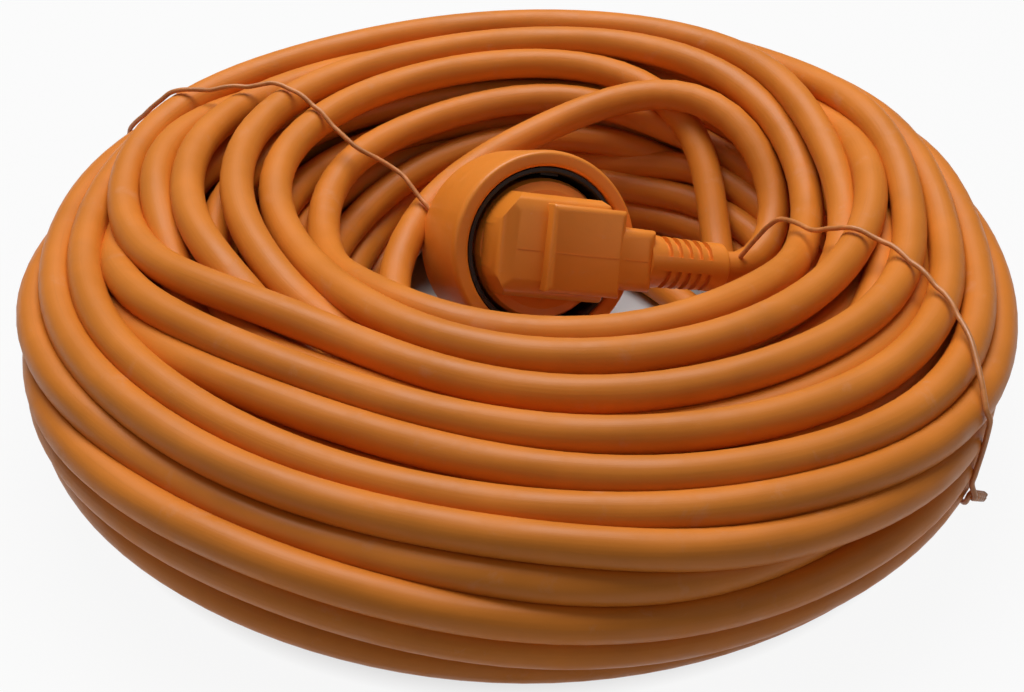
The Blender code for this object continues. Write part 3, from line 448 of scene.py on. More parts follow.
def fair(values):
    """Take kinks out of a run of numbers, and keep its long waves."""
    values[2:-2] -= KINK_EASE * kinks(values)
    values[1:-1] += BEND_EASE * (values[:-2] + values[2:] - 2 * values[1:-1])


def gaps_between(radius, height, by_station):
    """At each station, how far each turn is from each other one: in radius, in height,
    in the section's plane and square to the turns."""
    run_r, run_h = np.gradient(radius), np.gradient(height)
    run = np.sqrt((radius * math.radians(STEP)) ** 2 + run_r ** 2 + run_h ** 2)
    r_grid, h_grid = by_station(radius, FAR_AWAY), by_station(height, FAR_AWAY)
    r_way, h_way = by_station(run_r / run, 0.0), by_station(run_h / run, 0.0)
    off_r = r_grid[:, :, None] - r_grid[:, None, :]
    off_h = h_grid[:, :, None] - h_grid[:, None, :]
    along = (off_r * (r_way[:, :, None] + r_way[:, None, :])
             + off_h * (h_way[:, :, None] + h_way[:, None, :])) / 2
    flat = np.sqrt(off_r ** 2 + off_h ** 2) + TINY
    return off_r, off_h, flat, np.sqrt(np.maximum(flat ** 2 - along ** 2, TINY))


def settle(diameter, obstacles, rounds):
    """Press the turns against each other until they lie side by side."""
    azimuth, radius, height, shown = winding_route(diameter, np.random.default_rng(5))
    tail = tail_route(diameter)[0]
    near_end = np.clip((azimuth - azimuth[-1] + END_REACH) / END_BLEND, 0, 1)
    radius += near_end * (math.hypot(tail[0], tail[1]) - radius)
    height += near_end * (tail[2] - height)
    wanted = radius.copy(), height.copy()
    count = len(azimuth)
    turns = math.ceil(count / STATIONS)
    spare = turns * STATIONS - count

    def by_station(values, fill):
        return np.concatenate([values, np.full(spare, fill)]).reshape(turns, STATIONS).T

    def along_route(grid):
        return grid.T.reshape(-1)[:count]

    section = Section(azimuth, diameter)
    mobile = by_station(np.where(shown > 0.5, SHOWN_MOBILITY, 1.0), 0.0)
    seen = by_station(shown, 0.0) > 0.5
    either = seen[:, :, None] | seen[:, None, :]
    pair = seen[:, :, None] & seen[:, None, :]
    apart = diameter * np.where(pair, BOTH_SHOWN, np.where(either, ONE_SHOWN, NONE_SHOWN))
    real = mobile > 0
    both = real[:, :, None] & real[:, None, :] & ~np.eye(turns, dtype=bool)[None]
    share = mobile[:, :, None] / (mobile[:, :, None] + mobile[:, None, :] + 1e-9)
    buried = (shown < 0.5) & (azimuth > WINDING_START + 360 * BURIED_FROM)
    top = azimuth > WINDING_START + 360 * HIDDEN_TURNS
    inset = np.where(buried, BURIED_INSET * diameter, 0.0)
    inset[top] *= 0.5
    kept = section.keep(radius, height, inset)[0]
    into_hole = np.where(top, np.minimum(0, radius - kept), 0)
    sag = loose_share(azimuth)
    free_share = np.clip(2.5 * sag, 0, 1)
    cosine, sine = np.cos(np.radians(azimuth)), np.sin(np.radians(azimuth))
    for number in range(rounds):
        done = number / rounds
        pull = np.where(shown > 0.5, SHOWN_PULL * (1 - done) ** PULL_FADING + LASTING_PULL,
                        HIDDEN_PULL * (1 - done))
        pull = np.maximum(pull, END_PULL * near_end)
        radius += pull * (wanted[0] - radius)
        height += pull * (wanted[1] - height)
        fair(radius)
        fair(height)
        off_r, off_h, flat, distance = gaps_between(radius, height, by_station)
        press = np.where(both, np.maximum(0, apart - distance), 0) * share * 0.5 / flat
        radius += np.clip(along_route((press * off_r).sum(2)), -PUSH_LIMIT, PUSH_LIMIT)
        height += np.clip(along_route((press * off_h).sum(2)), -PUSH_LIMIT, PUSH_LIMIT)
        for centre, reach in obstacles:
            x, y = radius * cosine - centre[0], radius * sine - centre[1]
            z = height - centre[2]
            gap = np.sqrt(x * x + y * y + z * z) + TINY
            push = np.where(gap < reach, (reach - gap) / gap, 0.0) * (1 - near_end)
            radius += push * (x * cosine + y * sine)
            height += push * z
        free = radius, height
        radius, height = section.keep(radius - into_hole, height, inset)
        radius += into_hole
        radius += free_share * (free[0] - radius)
        height += free_share * (free[1] - height)
        radius += LOOSE_PULL * sag * np.minimum(0, wanted[0] - radius)
        height += LOOSE_PULL * sag * np.minimum(0, wanted[1] - height)
        radius += near_end * (wanted[0] - radius)
        height += near_end * (wanted[1] - height)
        height = np.maximum(height, diameter / 2)
    return np.stack([radius * cosine, radius * sine, height], 1)


def run_along(line):
    """How far along a line each of its points is."""
    steps = np.linalg.norm(np.diff(line, axis=0), axis=1)
    return np.concatenate([[0], np.cumsum(steps)])


def smooth_route(points, spacing):
    """Evenly spaced points on a smooth curve through the given ones."""
    points = np.asarray(points, float)
    ends = np.vstack([2 * points[0] - points[1], points, 2 * points[-1] - points[-2]])
    pieces = []
    for a, b, c, d in zip(ends[:-3], ends[1:-2], ends[2:-1], ends[3:]):
        parts = max(3, int(np.linalg.norm(c - b) / spacing * 3))
        share = np.linspace(0, 1, parts, endpoint=False)[:, None]
        gaps = [max(np.linalg.norm(q - p) ** 0.5, TINY)
                for p, q in ((a, b), (b, c), (c, d))]
        leave = (b - a) / gaps[0] - (c - a) / (gaps[0] + gaps[1]) + (c - b) / gaps[1]
        reach = (c - b) / gaps[1] - (d - b) / (gaps[1] + gaps[2]) + (d - c) / gaps[2]
        leave, reach = leave * gaps[1], reach * gaps[1]
        pieces.append((2 * share ** 3 - 3 * share ** 2 + 1) * b
                      + (share ** 3 - 2 * share ** 2 + share) * leave
                      + (3 * share ** 2 - 2 * share ** 3) * c
                      + (share ** 3 - share ** 2) * reach)
    line = np.vstack(pieces + [points[-1:]])
    run = run_along(line)
    even = np.linspace(0, run[-1], max(3, int(round(run[-1] / spacing)) + 1))
    return np.stack([np.interp(even, run, line[:, k]) for k in range(3)], 1)


def relax(line):
    """Ease small kinks out of evenly spaced points, with the ends held."""
    line = line.copy()
    for _ in range(LINE_EASE_ROUNDS):
        line[2:-2] -= LINE_EASE * kinks(line)
    return line


# ------------------------------------------------------------------ mesh makers
def carried_frames(line):
    """A side direction at each point, carried along the line without twisting."""
    way = np.gradient(line, axis=0)
    way /= np.linalg.norm(way, axis=1)[:, None]
    side = np.cross(way[0], (0.0, 0.0, 1.0))
    if np.linalg.norm(side) < 0.1:
        side = np.cross(way[0], (0.0, 1.0, 0.0))
    sides = []
    for direction in way:
        side = side - direction * np.dot(side, direction)
        side = side / np.linalg.norm(side)
        sides.append(side)
    sides = np.array(sides)
    return way, sides, np.cross(way, sides)


def tube(name, line, radius, around, start_length=0.0, frames=None):
    """A closed tube on a line. Its UV map holds metres along it and the share round it."""
    line = np.asarray(line, float)
    radius = np.broadcast_to(np.asarray(radius, float), (len(line),))
    _, side, up = frames or carried_frames(line)
    angle = np.arange(around) * 2 * math.pi / around
    rings = (line[:, None, :]
             + radius[:, None, None] * (np.cos(angle)[None, :, None] * side[:, None, :]
                                        + np.sin(angle)[None, :, None] * up[:, None, :]))
    points = rings.reshape(-1, 3)
    count = len(line)
    first = np.arange(count - 1)[:, None] * around
    near, near_next = first + np.arange(around), first + (np.arange(around) + 1) % around
    quads = np.stack([near, near_next, near_next + around, near + around], 2)
    faces = [tuple(quad) for quad in quads.reshape(-1, 4).tolist()]
    faces.append(tuple(range(around - 1, -1, -1)))
    faces.append(tuple((count - 1) * around + i for i in range(around)))
    mesh = bpy.data.meshes.new(name)
    mesh.from_pydata(points.tolist(), [], faces)
    run = start_length + run_along(line)
    u = np.repeat(run[:-1], around), np.repeat(run[1:], around)
    v = np.tile(np.arange(around) / around, count - 1)
    v_next = v + 1 / around
    corners = np.stack([u[0], v, u[0], v_next, u[1], v_next, u[1], v], 1).reshape(-1)
    corners = np.concatenate([corners, np.zeros(around * 4)]).astype(np.float32)
    mesh.uv_layers.new(name="Along").data.foreach_set("uv", corners)
    mesh.polygons.foreach_set("use_smooth", [len(face) == 4 for face in faces])
    ends = np.zeros(len(mesh.edges) * 2, np.int32)
    mesh.edges.foreach_get("vertices", ends)
    ends = ends.reshape(-1, 2)
    rim = (ends < around).all(1) | (ends >= (count - 1) * around).all(1)
    mesh.edges.foreach_set("use_edge_sharp", rim)
    mesh.validate()
    mesh.update()
    piece = bpy.data.objects.new(name, mesh)
    bpy.context.scene.collection.objects.link(piece)
    return piece


def bare_selection():
    """Leave edit mode, with nothing selected."""
    if bpy.context.mode != "OBJECT":
        bpy.ops.object.mode_set(mode="OBJECT")
    bpy.ops.object.select_all(action="DESELECT")


# -------------------------------------------------------------------- materials
def clear_material(name):
    """A material with nothing but its shader and output."""
    material = bpy.data.materials.new(name)
    material.use_nodes = True
    nodes = material.node_tree.nodes
    nodes.clear()
    output = nodes.new("ShaderNodeOutputMaterial")
    shader = nodes.new("ShaderNodeBsdfPrincipled")
    material.node_tree.links.new(shader.outputs[0], output.inputs[0])
    return material, shader


class Recipe:
    """Short words for the nodes that the finishes here share."""

    def __init__(self, name):
        self.material, self.shader = clear_material(name)
        self.nodes = self.material.node_tree.nodes
        self.links = self.material.node_tree.links

    def join(self, source, target):
        self.links.new(source, target)

    def where(self, along=False):
        if along:
            node = self.nodes.new("ShaderNodeUVMap")
            node.uv_map = "Along"
            return node.outputs["UV"]
        return self.nodes.new("ShaderNodeTexCoord").outputs["Object"]

    def spread(self, place, scale):
        node = self.nodes.new("ShaderNodeMapping")
        node.inputs["Scale"].default_value = scale
        self.join(place, node.inputs["Vector"])
        return node.outputs[0]

    def noise(self, place, scale, detail, rough, twist=0.0):
        node = self.nodes.new("ShaderNodeTexNoise")
        for key, number in zip(("Scale", "Detail", "Roughness", "Distortion"),
                               (scale, detail, rough, twist)):
            node.inputs[key].default_value = number
        self.join(place, node.inputs["Vector"])
        return node.outputs["Fac"]

    def ramp(self, value, low, high, out_low=0.0, out_high=1.0):
        node = self.nodes.new("ShaderNodeMapRange")
        for key, number in zip(("From Min", "From Max", "To Min", "To Max"),
                               (low, high, out_low, out_high)):
            node.inputs[key].default_value = number
        self.join(value, node.inputs["Value"])
        return node.outputs[0]

    def maths(self, kind, first, second):
        node = self.nodes.new("ShaderNodeMath")
        node.operation = kind
        for socket, value in zip(node.inputs, (first, second)):
            if isinstance(value, (int, float)):
                socket.default_value = value
            else:
                self.join(value, socket)
        return node.outputs[0]

    def mix(self, share, first, second):
        node = self.nodes.new("ShaderNodeMix")
        node.data_type = "RGBA"
        self.join(share, node.inputs[0])
        for socket, value in ((node.inputs[6], first), (node.inputs[7], second)):
            if isinstance(value, bpy.types.NodeSocket):
                self.join(value, socket)
            else:
                socket.default_value = (*value, 1.0)
        return node.outputs[2]

    def mottle(self, value, low, high, colour, dark, light):
        """A colour that varies between a darker and a lighter tint."""
        return self.mix(self.ramp(value, low, high), tinted(colour, dark),
                        tinted(colour, light))

    def layer(self, base, value, low, high, most, colour):
        """Let up to a share of a colour show over the base."""
        return self.mix(self.ramp(value, low, high, 0.0, most), base, colour)

    def bumps(self, *layers):
        """Bumps of (height, strength, distance), each on the one before."""
        normal = None
        for height, strength, distance in layers:
            node = self.nodes.new("ShaderNodeBump")
            node.inputs["Strength"].default_value = strength
            node.inputs["Distance"].default_value = distance
            self.join(height, node.inputs["Height"])
            if normal is not None:
                self.join(normal, node.inputs["Normal"])
            normal = node.outputs[0]
        return normal

    def finish(self, colour, rough, normal, **fixed):
        self.join(colour, self.shader.inputs["Base Color"])
        self.join(rough, self.shader.inputs["Roughness"])
        self.join(normal, self.shader.inputs["Normal"])
        for key, number in fixed.items():
            self.shader.inputs[key.replace("_", " ")].default_value = number
        return self.material


def tinted(colour, factor):
    return tuple(min(1.0, part * factor) for part in colour)


def paled(colour, factor, white):
    return tuple(factor * part + white for part in colour)


CORE_LAY = (9.0, 0.942)             # the lay's spiral, per metre along and per turn round


def jacket_material(name, colour):
    """Extruded cord jacket: satin, with the cores' lay just telling and handling marks."""
    make = Recipe(name)
    place, along = make.where(), make.where(along=True)
    cloudy = make.noise(place, 38.0, 3.0, 0.55)
    fine = make.noise(place, 900.0, 2.0, 0.6)
    drawn = make.noise(make.spread(along, (14.0, 42.0, 1.0)), 1.0, 4.0, 0.6)
    rubbed = make.noise(place, 115.0, 5.0, 0.68, 0.4)
    dust = make.noise(place, 17.0, 4.0, 0.7)
    base = make.mottle(cloudy, 0.32, 0.70, colour, 0.90, 1.06)
    base = make.layer(base, drawn, 0.55, 0.78, 0.30, tinted(colour, 0.78))
    base = make.layer(base, rubbed, 0.60, 0.74, 0.16, paled(colour, 0.55, 0.30))
    base = make.layer(base, dust, 0.56, 0.72, 0.10, (0.16, 0.085, 0.045))
    rough = make.maths("ADD", make.ramp(cloudy, 0.3, 0.7, 0.40, 0.52),
                       make.ramp(rubbed, 0.50, 0.75, 0.0, 0.18))
    spiral = make.nodes.new("ShaderNodeTexWave")
    spiral.wave_type, spiral.bands_direction = "BANDS", "X"
    for key, number in (("Scale", 1.0), ("Distortion", 0.6), ("Detail", 1.0)):
        spiral.inputs[key].default_value = number
    lay = make.nodes.new("ShaderNodeSeparateXYZ")
    make.join(along, lay.inputs[0])
    wound = make.maths("ADD", make.maths("MULTIPLY", lay.outputs[0], CORE_LAY[0]),
                       make.maths("MULTIPLY", lay.outputs[1], CORE_LAY[1]))
    joined = make.nodes.new("ShaderNodeCombineXYZ")
    make.join(wound, joined.inputs[0])
    make.join(joined.outputs[0], spiral.inputs["Vector"])
    normal = make.bumps((spiral.outputs["Fac"], 0.22, 0.00035), (drawn, 0.35, 0.00012),
                        (rubbed, 0.30, 0.00010), (fine, 0.18, 0.00004))
    return make.finish(base, rough, normal, Specular_IOR_Level=0.32)


def moulding_material(name, colour):
    """Moulded plastic housing: fine spark-eroded grain, flow marks and scuffed edges."""
    make = Recipe(name)
    place = make.where()
    cloudy = make.noise(place, 30.0, 3.0, 0.5)
    grain = make.noise(place, 1500.0, 2.0, 0.6)
    marks = make.noise(make.spread(place, (1.0, 1.0, 4.0)), 120.0, 6.0, 0.7, 0.8)
    dust = make.noise(place, 14.0, 5.0, 0.7)
    base = make.mottle(cloudy, 0.3, 0.7, colour, 0.92, 1.05)
    base = make.layer(base, marks, 0.60, 0.76, 0.22, paled(colour, 0.6, 0.25))
    base = make.layer(base, dust, 0.58, 0.74, 0.14, (0.12, 0.06, 0.03))
    rough = make.maths("ADD", make.ramp(cloudy, 0.3, 0.7, 0.36, 0.44),
                       make.ramp(marks, 0.5, 0.75, 0.0, 0.15))
    normal = make.bumps((grain, 0.30, 0.00006), (marks, 0.25, 0.00012))
    return make.finish(base, rough, normal, Specular_IOR_Level=0.48)


def insert_material(name, colour):
    """Black contact carrier: harder, with dust in its hollows."""
    make = Recipe(name)
    place = make.where()
    cloudy = make.noise(place, 45.0, 4.0, 0.6)
    grain = make.noise(place, 1300.0, 2.0, 0.6)
    dust = make.noise(place, 90.0, 6.0, 0.75)
    base = make.mix(make.ramp(cloudy, 0.35, 0.7), colour, tinted(colour, 2.4))
    base = make.layer(base, dust, 0.58, 0.75, 0.35, (0.14, 0.12, 0.10))
    return make.finish(base, make.ramp(cloudy, 0.3, 0.7, 0.38, 0.55),
                       make.bumps((grain, 0.35, 0.00006)), Specular_IOR_Level=0.5)


def metal_material(name, colour, dark, rough_low, rough_high):
    """Bright contact metal with drawn streaks and dull patches."""
    make = Recipe(name)
    place = make.where()
    patches = make.noise(place, 160.0, 4.0, 0.6)
    drawn = make.noise(make.spread(place, (2600.0, 2600.0, 90.0)), 1.0, 2.0, 0.5)
    base = make.mix(make.ramp(patches, 0.42, 0.72), colour, dark)
    rough = make.maths("ADD", make.ramp(patches, 0.35, 0.7, rough_low, rough_high),
                       make.ramp(drawn, 0.3, 0.7, 0.0, 0.08))
    return make.finish(base, rough, make.bumps((drawn, 0.15, 0.00002)), Metallic=1.0)


def tie_material(name, colour):
    """Thin plastic over soft wire, dented where it was bent by hand."""
    make = Recipe(name)
    place = make.where()
    dents = make.noise(place, 420.0, 3.0, 0.6)
    worn = make.noise(place, 150.0, 5.0, 0.7)
    base = make.mottle(worn, 0.42, 0.70, colour, 0.82, 1.25)
    return make.finish(base, make.ramp(worn, 0.35, 0.7, 0.30, 0.50),
                       make.bumps((dents, 0.45, 0.00012)), Specular_IOR_Level=0.5)


def core_material(name, colour):
    """Insulation of one core."""
    make = Recipe(name)
    place = make.where()
    cloudy = make.noise(place, 130.0, 3.0, 0.5)
    fine = make.noise(place, 1400.0, 2.0, 0.5)
    base = make.mottle(cloudy, 0.3, 0.7, colour, 0.85, 1.1)
    return make.finish(base, make.ramp(fine, 0.3, 0.7, 0.36, 0.48),
                       make.bumps((fine, 0.2, 0.00004)), Specular_IOR_Level=0.48)


# --------------------------------------------------------------------- settings
def length_setting(name, what, default, least, most):
    return bpy.props.FloatProperty(name=name, description=what, default=default, min=least,
                                   max=most, subtype="DISTANCE", unit="LENGTH")


def colour_setting(name, what, default):
    return bpy.props.FloatVectorProperty(name=name, description=what, default=default,
                                         subtype="COLOR", size=3, min=0.0, max=1.0)


def power_setting(name, what, default):
    return bpy.props.FloatProperty(name=name, description=what, default=default, min=0.0,
                                   subtype="POWER", unit="POWER")


class CordSizes(bpy.types.PropertyGroup):
    diameter: length_setting("Cord diameter", "Outside diameter of the jacket",
                             0.0086, 0.006, 0.012)
    around: bpy.props.IntProperty(
        name="Cord sides", description="Faces round the jacket", default=20, min=8, max=32)
    ring_step: length_setting("Ring step", "Distance between the rings of the jacket's mesh",
                              0.0062, 0.003, 0.012)
    tie_wire: length_setting("Tie wire", "Thickness of a tie's coated wire",
                             0.0013, 0.001, 0.004)


class CordColours(bpy.types.PropertyGroup):
    jacket: colour_setting("Jacket", "Colour of the cord's jacket", (0.70, 0.212, 0.020))
    moulding: colour_setting("Mouldings", "Colour of the plug and the coupler",
                             (0.86, 0.262, 0.024))
    insert: colour_setting("Insert", "Colour of the coupler's contact carrier",
                           (0.014, 0.013, 0.013))
    tie: colour_setting("Ties", "Colour of the ties' coating", (0.64, 0.235, 0.065))


class StudioLook(bpy.types.PropertyGroup):
    floor: colour_setting("Floor", "Colour of the studio's paper", (0.50, 0.50, 0.50))
    key: power_setting("Key lamp", "Power of the large lamp above", 9.6)
    fill: power_setting("Fill lamps", "Power of each lamp at the sides", 0.30)
    room: bpy.props.FloatProperty(
        name="Room light", description="Strength of the white room", default=0.15, min=0.0,
        max=2.0)


def sizes():
    return bpy.context.scene.shore_cord_sizes


def colours():
    return bpy.context.scene.shore_cord_colours


# The coupler as balls that the turns stay clear of, in millimetres: the mouth's centre,
# the way from there into the coupler, and each ball's place on that way and radius.
MOUTH = (8.1, 5.6, 37.0)
COUPLER_WAY = (-0.3798, 0.8221, -0.4242)
COUPLER_BALLS = ((4, 25.8), (14, 25.8), (24, 25.8), (31, 25.0), (37, 19.5), (43, 14.5),
                 (47, 11.5), (51, 8.2), (55, 7.4), (60, 6.4), (64, 4.8))
PLUG_TRAVEL = 20.0                  # how far the plug comes out, along the mouth's axis
RELIEF_BALL = 5.6                   # radius of the relief's ball
CORD_BALL = 1.01                    # radius of balls on the lead and tail, in diameters
LEAD_SPACING = 2.0                  # between the points of the lead that get balls


def things_in_the_way(diameter, lead, tail):
    """Balls round everything that the turns have to lie beside."""
    half, way, relief = diameter / 2, np.array(COUPLER_WAY), np.array(LEAD_ROUTE[0])
    balls = [(tuple(np.array(MOUTH) + s * way), r + half) for s, r in COUPLER_BALLS]
    balls += [(tuple(point), diameter * CORD_BALL) for point in [*lead[:-14:2], *tail[::3]]]
    pulled = relief - PLUG_TRAVEL * way
    balls += [(tuple(relief * (1 - share) + pulled * share), RELIEF_BALL + half)
              for share in (0.0, 0.5, 1.0)]
    return balls


SETTLED = {}


def settled_cord():
    """The whole cord's line in metres, from the plug to the coupler."""
    if "line" not in SETTLED:
        diameter = sizes().diameter * 1000
        lead = smooth_route(LEAD_ROUTE, LEAD_SPACING)
        tail = tail_route(diameter)
        rounds = QUICK_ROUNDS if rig.quick() else SETTLE_ROUNDS
        turns = settle(diameter, things_in_the_way(diameter, lead, tail), rounds)
        whole = np.vstack([LEAD_ROUTE, turns[2:-1], tail])
        line = relax(smooth_route(whole, sizes().ring_step * 1000))
        away = np.linalg.norm(line[:LEAD_RINGS] - LEAD_ROUTE[LEAD_SEAM], axis=1)
        seam = int(np.argmin(away))
        # two rings close to the seam keep the shading even across it
        before, after = (line[seam] + SEAM_GAP * (line[seam + way] - line[seam])
                         for way in (-1, 1))
        line = np.vstack([line[:seam], before, line[seam], after, line[seam + 1:]])
        SETTLED["line"] = line / 1000
        SETTLED["seam"] = seam + 1
        SETTLED["frames"] = carried_frames(SETTLED["line"])
    return SETTLED["line"]


def line_length(line):
    """Length of a line in its own unit."""
    return float(np.linalg.norm(np.diff(line, axis=0), axis=1).sum())


def cord_piece(name, jacket, lead):
    """The cord before or after its seam, as a tube in its jacket, and its line."""
    line, seam = settled_cord(), SETTLED["seam"]
    part = slice(0, seam + 1) if lead else slice(seam, None)
    piece = tube(name, line[part], sizes().diameter / 2, sizes().around,
                 start_length=0.0 if lead else line_length(line[:seam + 1]),
                 frames=[side[part] for side in SETTLED["frames"]])
    piece.data.materials.append(jacket_material(jacket, colours().jacket))
    return piece, line[part]


def declare_cord(piece, line, route, lay):
    """Say that a piece is a free cord. Both its ends go back into the object."""
    route = [tuple(float(x) for x in point) for point in route]
    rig.cord(piece, exit=route[0], length=round(line_length(line), 3),
            diameter=sizes().diameter, far_end="object", stiffness="medium", lay=lay,
            path=route)
    print(piece.name, round(line_length(line), 3), "m in", len(line), "rings")


# --------------------------------------------------------------------- operators
class SHORE_CORD_OT_winding(bpy.types.Operator):
    """Wind the long cord round the hole and lead its end into the coupler"""
    bl_idname = "shore_cord.winding"
    bl_label = "Wound Cord"

    def execute(self, context):
        piece, wound = cord_piece("wound_cord", "Wound cord jacket", lead=False)
        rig.ride(piece, BUNDLE)
        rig.slot(piece, "cord_jacket")
        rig.replaces(piece, "cord_coil", "hidden_turns", "lead_to_coupler")
        declare_cord(piece, wound, wound[::2], "coiled")
        return {"FINISHED"}


class SHORE_CORD_OT_plug_lead(bpy.types.Operator):
    """Lead the cord's first stretch from the plug over the winding"""
    bl_idname = "shore_cord.plug_lead"
    bl_label = "Plug Lead"

    def execute(self, context):
        piece, lead = cord_piece("plug_lead", "Plug lead jacket", lead=True)
        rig.blend(piece, PLUG, BUNDLE, start=(0.0555, 0.0130, 0.0270),
                 end=(0.0655, 0.0449, 0.0420))
        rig.slot(piece, "cord_jacket")
        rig.replaces(piece, "lead_to_plug")
        declare_cord(piece, lead, lead, "loose")
        return {"FINISHED"}


# Where each tie crosses the winding: its azimuth in degrees at some radii.
TIE_LEAN = {
    "left": ((0.045, 134.0), (0.055, 139.0), (0.069, 140.0), (0.084, 142.5), (0.098, 149.0),
             (0.112, 152.0), (0.124, 152.0)),
    "right": ((0.050, 12.0), (0.060, 13.5), (0.068, 8.0), (0.075, -5.0), (0.082, -11.0),
              (0.092, -14.0), (0.100, -18.0), (0.107, -22.0), (0.115, -27.0), (0.124, -33.0)),
}
TIE_GAP = 0.75                      # from a turn's skin to the wire's middle, in wires
TIE_FLOOR = 0.16                    # least height of the wire, as a share of its reach
TIE_SPACING, TIE_SIDES = 0.9, 10    # millimetres between its rings, and its sides
LOOP_CORNERS, ROUND_CORNERS = 90, 24
# A tie's waves: how often each repeats round the loop, and how large they are.
SIDE_PACES, LIFT_PACES = (2, 3, 5, 8), (9, 13, 17)
SIDE_WAVE, LIFT_WAVE = 0.0007, 0.00030
LIFT_FROM, LIFT_OVER = 0.036, 0.01  # the wire is lifted on top only, above this height
TWIST_HEIGHT = 0.018                # where the ends are twisted together, outside
TWIST_SLOPE = (0.80, -0.60)         # the twist's way: along the bundle's rim and up
TWIST_STEPS = 40
TWIST_LENGTH = 0.013
TWIST_STAND, TWIST_RADIUS = 0.7, 0.56   # from the turns, and of the spiral, in wires
TWIST_ANGLE = 15.0                  # radians that one end winds round the other


def tie_azimuth(name, radius):
    """Azimuth of a tie in radians, at a distance from the axis."""
    return np.radians(np.interp(radius, *zip(*TIE_LEAN[name])))


def strands_under(name):
    """Radius and height of each turn where it passes below a tie, in metres."""
    line = settled_cord()
    radius = np.hypot(line[:, 0], line[:, 1])
    level = (np.unwrap(np.arctan2(line[:, 1], line[:, 0])) - tie_azimuth(name, radius))
    level = level / (2 * math.pi)
    steps = np.floor(level)
    found = []
    for i in np.nonzero(np.diff(steps))[0]:
        share = (max(steps[i], steps[i + 1]) - level[i]) / (level[i + 1] - level[i])
        point = line[i] * (1 - share) + line[i + 1] * share
        found.append((math.hypot(point[0], point[1]), point[2]))
    return np.array(found)


def hugging_loop(strands, reach):
    """A loop pulled tight round all turns in a section: radius and height."""
    angles = np.linspace(0, 2 * math.pi, ROUND_CORNERS, endpoint=False)
    rim = np.array([(r + reach * math.cos(a), max(z + reach * math.sin(a), reach * TIE_FLOOR))
                    for r, z in strands for a in angles])
    order = rim[np.lexsort((rim[:, 1], rim[:, 0]))]

    def half(points):
        chain = []
        for p in points:
            while len(chain) > 1:
                (ax, ay), (bx, by) = chain[-1] - chain[-2], p - chain[-2]
                if ax * by - ay * bx > 0:
                    break
                chain.pop()
            chain.append(p)
        return chain[:-1]

    hull = np.array(half(list(order)) + half(list(order[::-1])))
    closed = np.vstack([hull, hull[:1]])
    run = run_along(closed)
    even = np.linspace(0, run[-1], LOOP_CORNERS, endpoint=False)
    return np.stack([np.interp(even, run, closed[:, k]) for k in range(2)], 1)


def random_wave(share, paces, rng):
    """A sum of waves of random size and phase round a loop."""
    return sum(rng.normal() * np.sin(share * 2 * math.pi * pace + rng.uniform(0, 6))
               for pace in paces)


def tie_line(name, wire, rng):
    """A tie's line once round the bundle, from and to the place of its twist."""
    loop = hugging_loop(strands_under(name), sizes().diameter / 2 + wire * TIE_GAP)
    start = int(np.argmin(np.abs(loop[:, 1] - TWIST_HEIGHT) + (loop[:, 0] < 0.1)))
    loop = np.roll(loop, -start, axis=0)
    share = np.linspace(0, 1, len(loop))
    top = np.clip((loop[:, 1] - LIFT_FROM) / LIFT_OVER, 0, 1)
    aside = SIDE_WAVE * random_wave(share, SIDE_PACES, rng)
    lift = random_wave(share, LIFT_PACES, rng)
    turn = tie_azimuth(name, loop[:, 0])
    points = np.stack([loop[:, 0] * np.cos(turn) - aside * np.sin(turn),
                       loop[:, 0] * np.sin(turn) + aside * np.cos(turn),
                       loop[:, 1] + top * LIFT_WAVE * np.abs(lift)], 1)
    points[:, 2] = np.maximum(points[:, 2], wire * 0.5 + 0.0001)
    return points


def twisted_ends(points, wire):
    """Both ends of a tie, wound round each other and pressed flat against the turns."""
    foot = (points[0] + points[-1]) / 2
    out = Vector((foot[0], foot[1], 0)).normalized()
    aside = Vector((-out.y, out.x, 0.0))
    way = (aside * TWIST_SLOPE[0] + Vector((0, 0, 1)) * TWIST_SLOPE[1]).normalized()
    across = way.cross(out)
    ends = []
    for side in (0.0, math.pi):
        ends.append([Vector(foot) + out * (wire * TWIST_STAND) + way * (TWIST_LENGTH * t)
                     + (out * math.cos(side + TWIST_ANGLE * t)
                        + across * math.sin(side + TWIST_ANGLE * t)) * (wire * TWIST_RADIUS)
                     for t in np.linspace(0, 1, TWIST_STEPS)[1:]])
    return [np.array([tuple(p) for p in end]) for end in ends]


class SHORE_CORD_OT_ties(bpy.types.Operator):
    """Pass two coated wire ties round the bundle and twist their ends"""
    bl_idname = "shore_cord.ties"
    bl_label = "Wire Ties"

    def execute(self, context):
        wire = sizes().tie_wire
        rng = np.random.default_rng(11)
        for name in TIE_LEAN:
            points = tie_line(name, wire, rng)
            first, last = twisted_ends(points, wire)
            whole = np.vstack([first[::-1], points[1:-1], last])
            line = smooth_route(whole * 1000, TIE_SPACING) / 1000
            piece = tube("wire_tie_" + name, line, wire / 2, TIE_SIDES)
            piece.data.materials.append(tie_material("Tie coating " + name, colours().tie))
            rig.ride(piece, BUNDLE)
            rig.slot(piece, "tie_coating")
            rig.replaces(piece, "tie_" + name)
        return {"FINISHED"}


# ------------------------------------------------------------- plug and coupler
# Their own measures, in metres: the mouth is the plane z = 0 of the coupler's axis,
# and the plug's cord leaves along +X.
MOUTH_TURN, MOUTH_TILT, EXIT_ROLL = 24.8, 64.9, -17.9
SKIN = 0.0002                       # how far a skin stands off the solid below it
SMOOTH_ANGLE = 32.0                 # sharper edges than this stay edges, in degrees
LATHE_SIDES, RELIEF_SIDES = 96, 72
ROUNDING_PARTS = 5

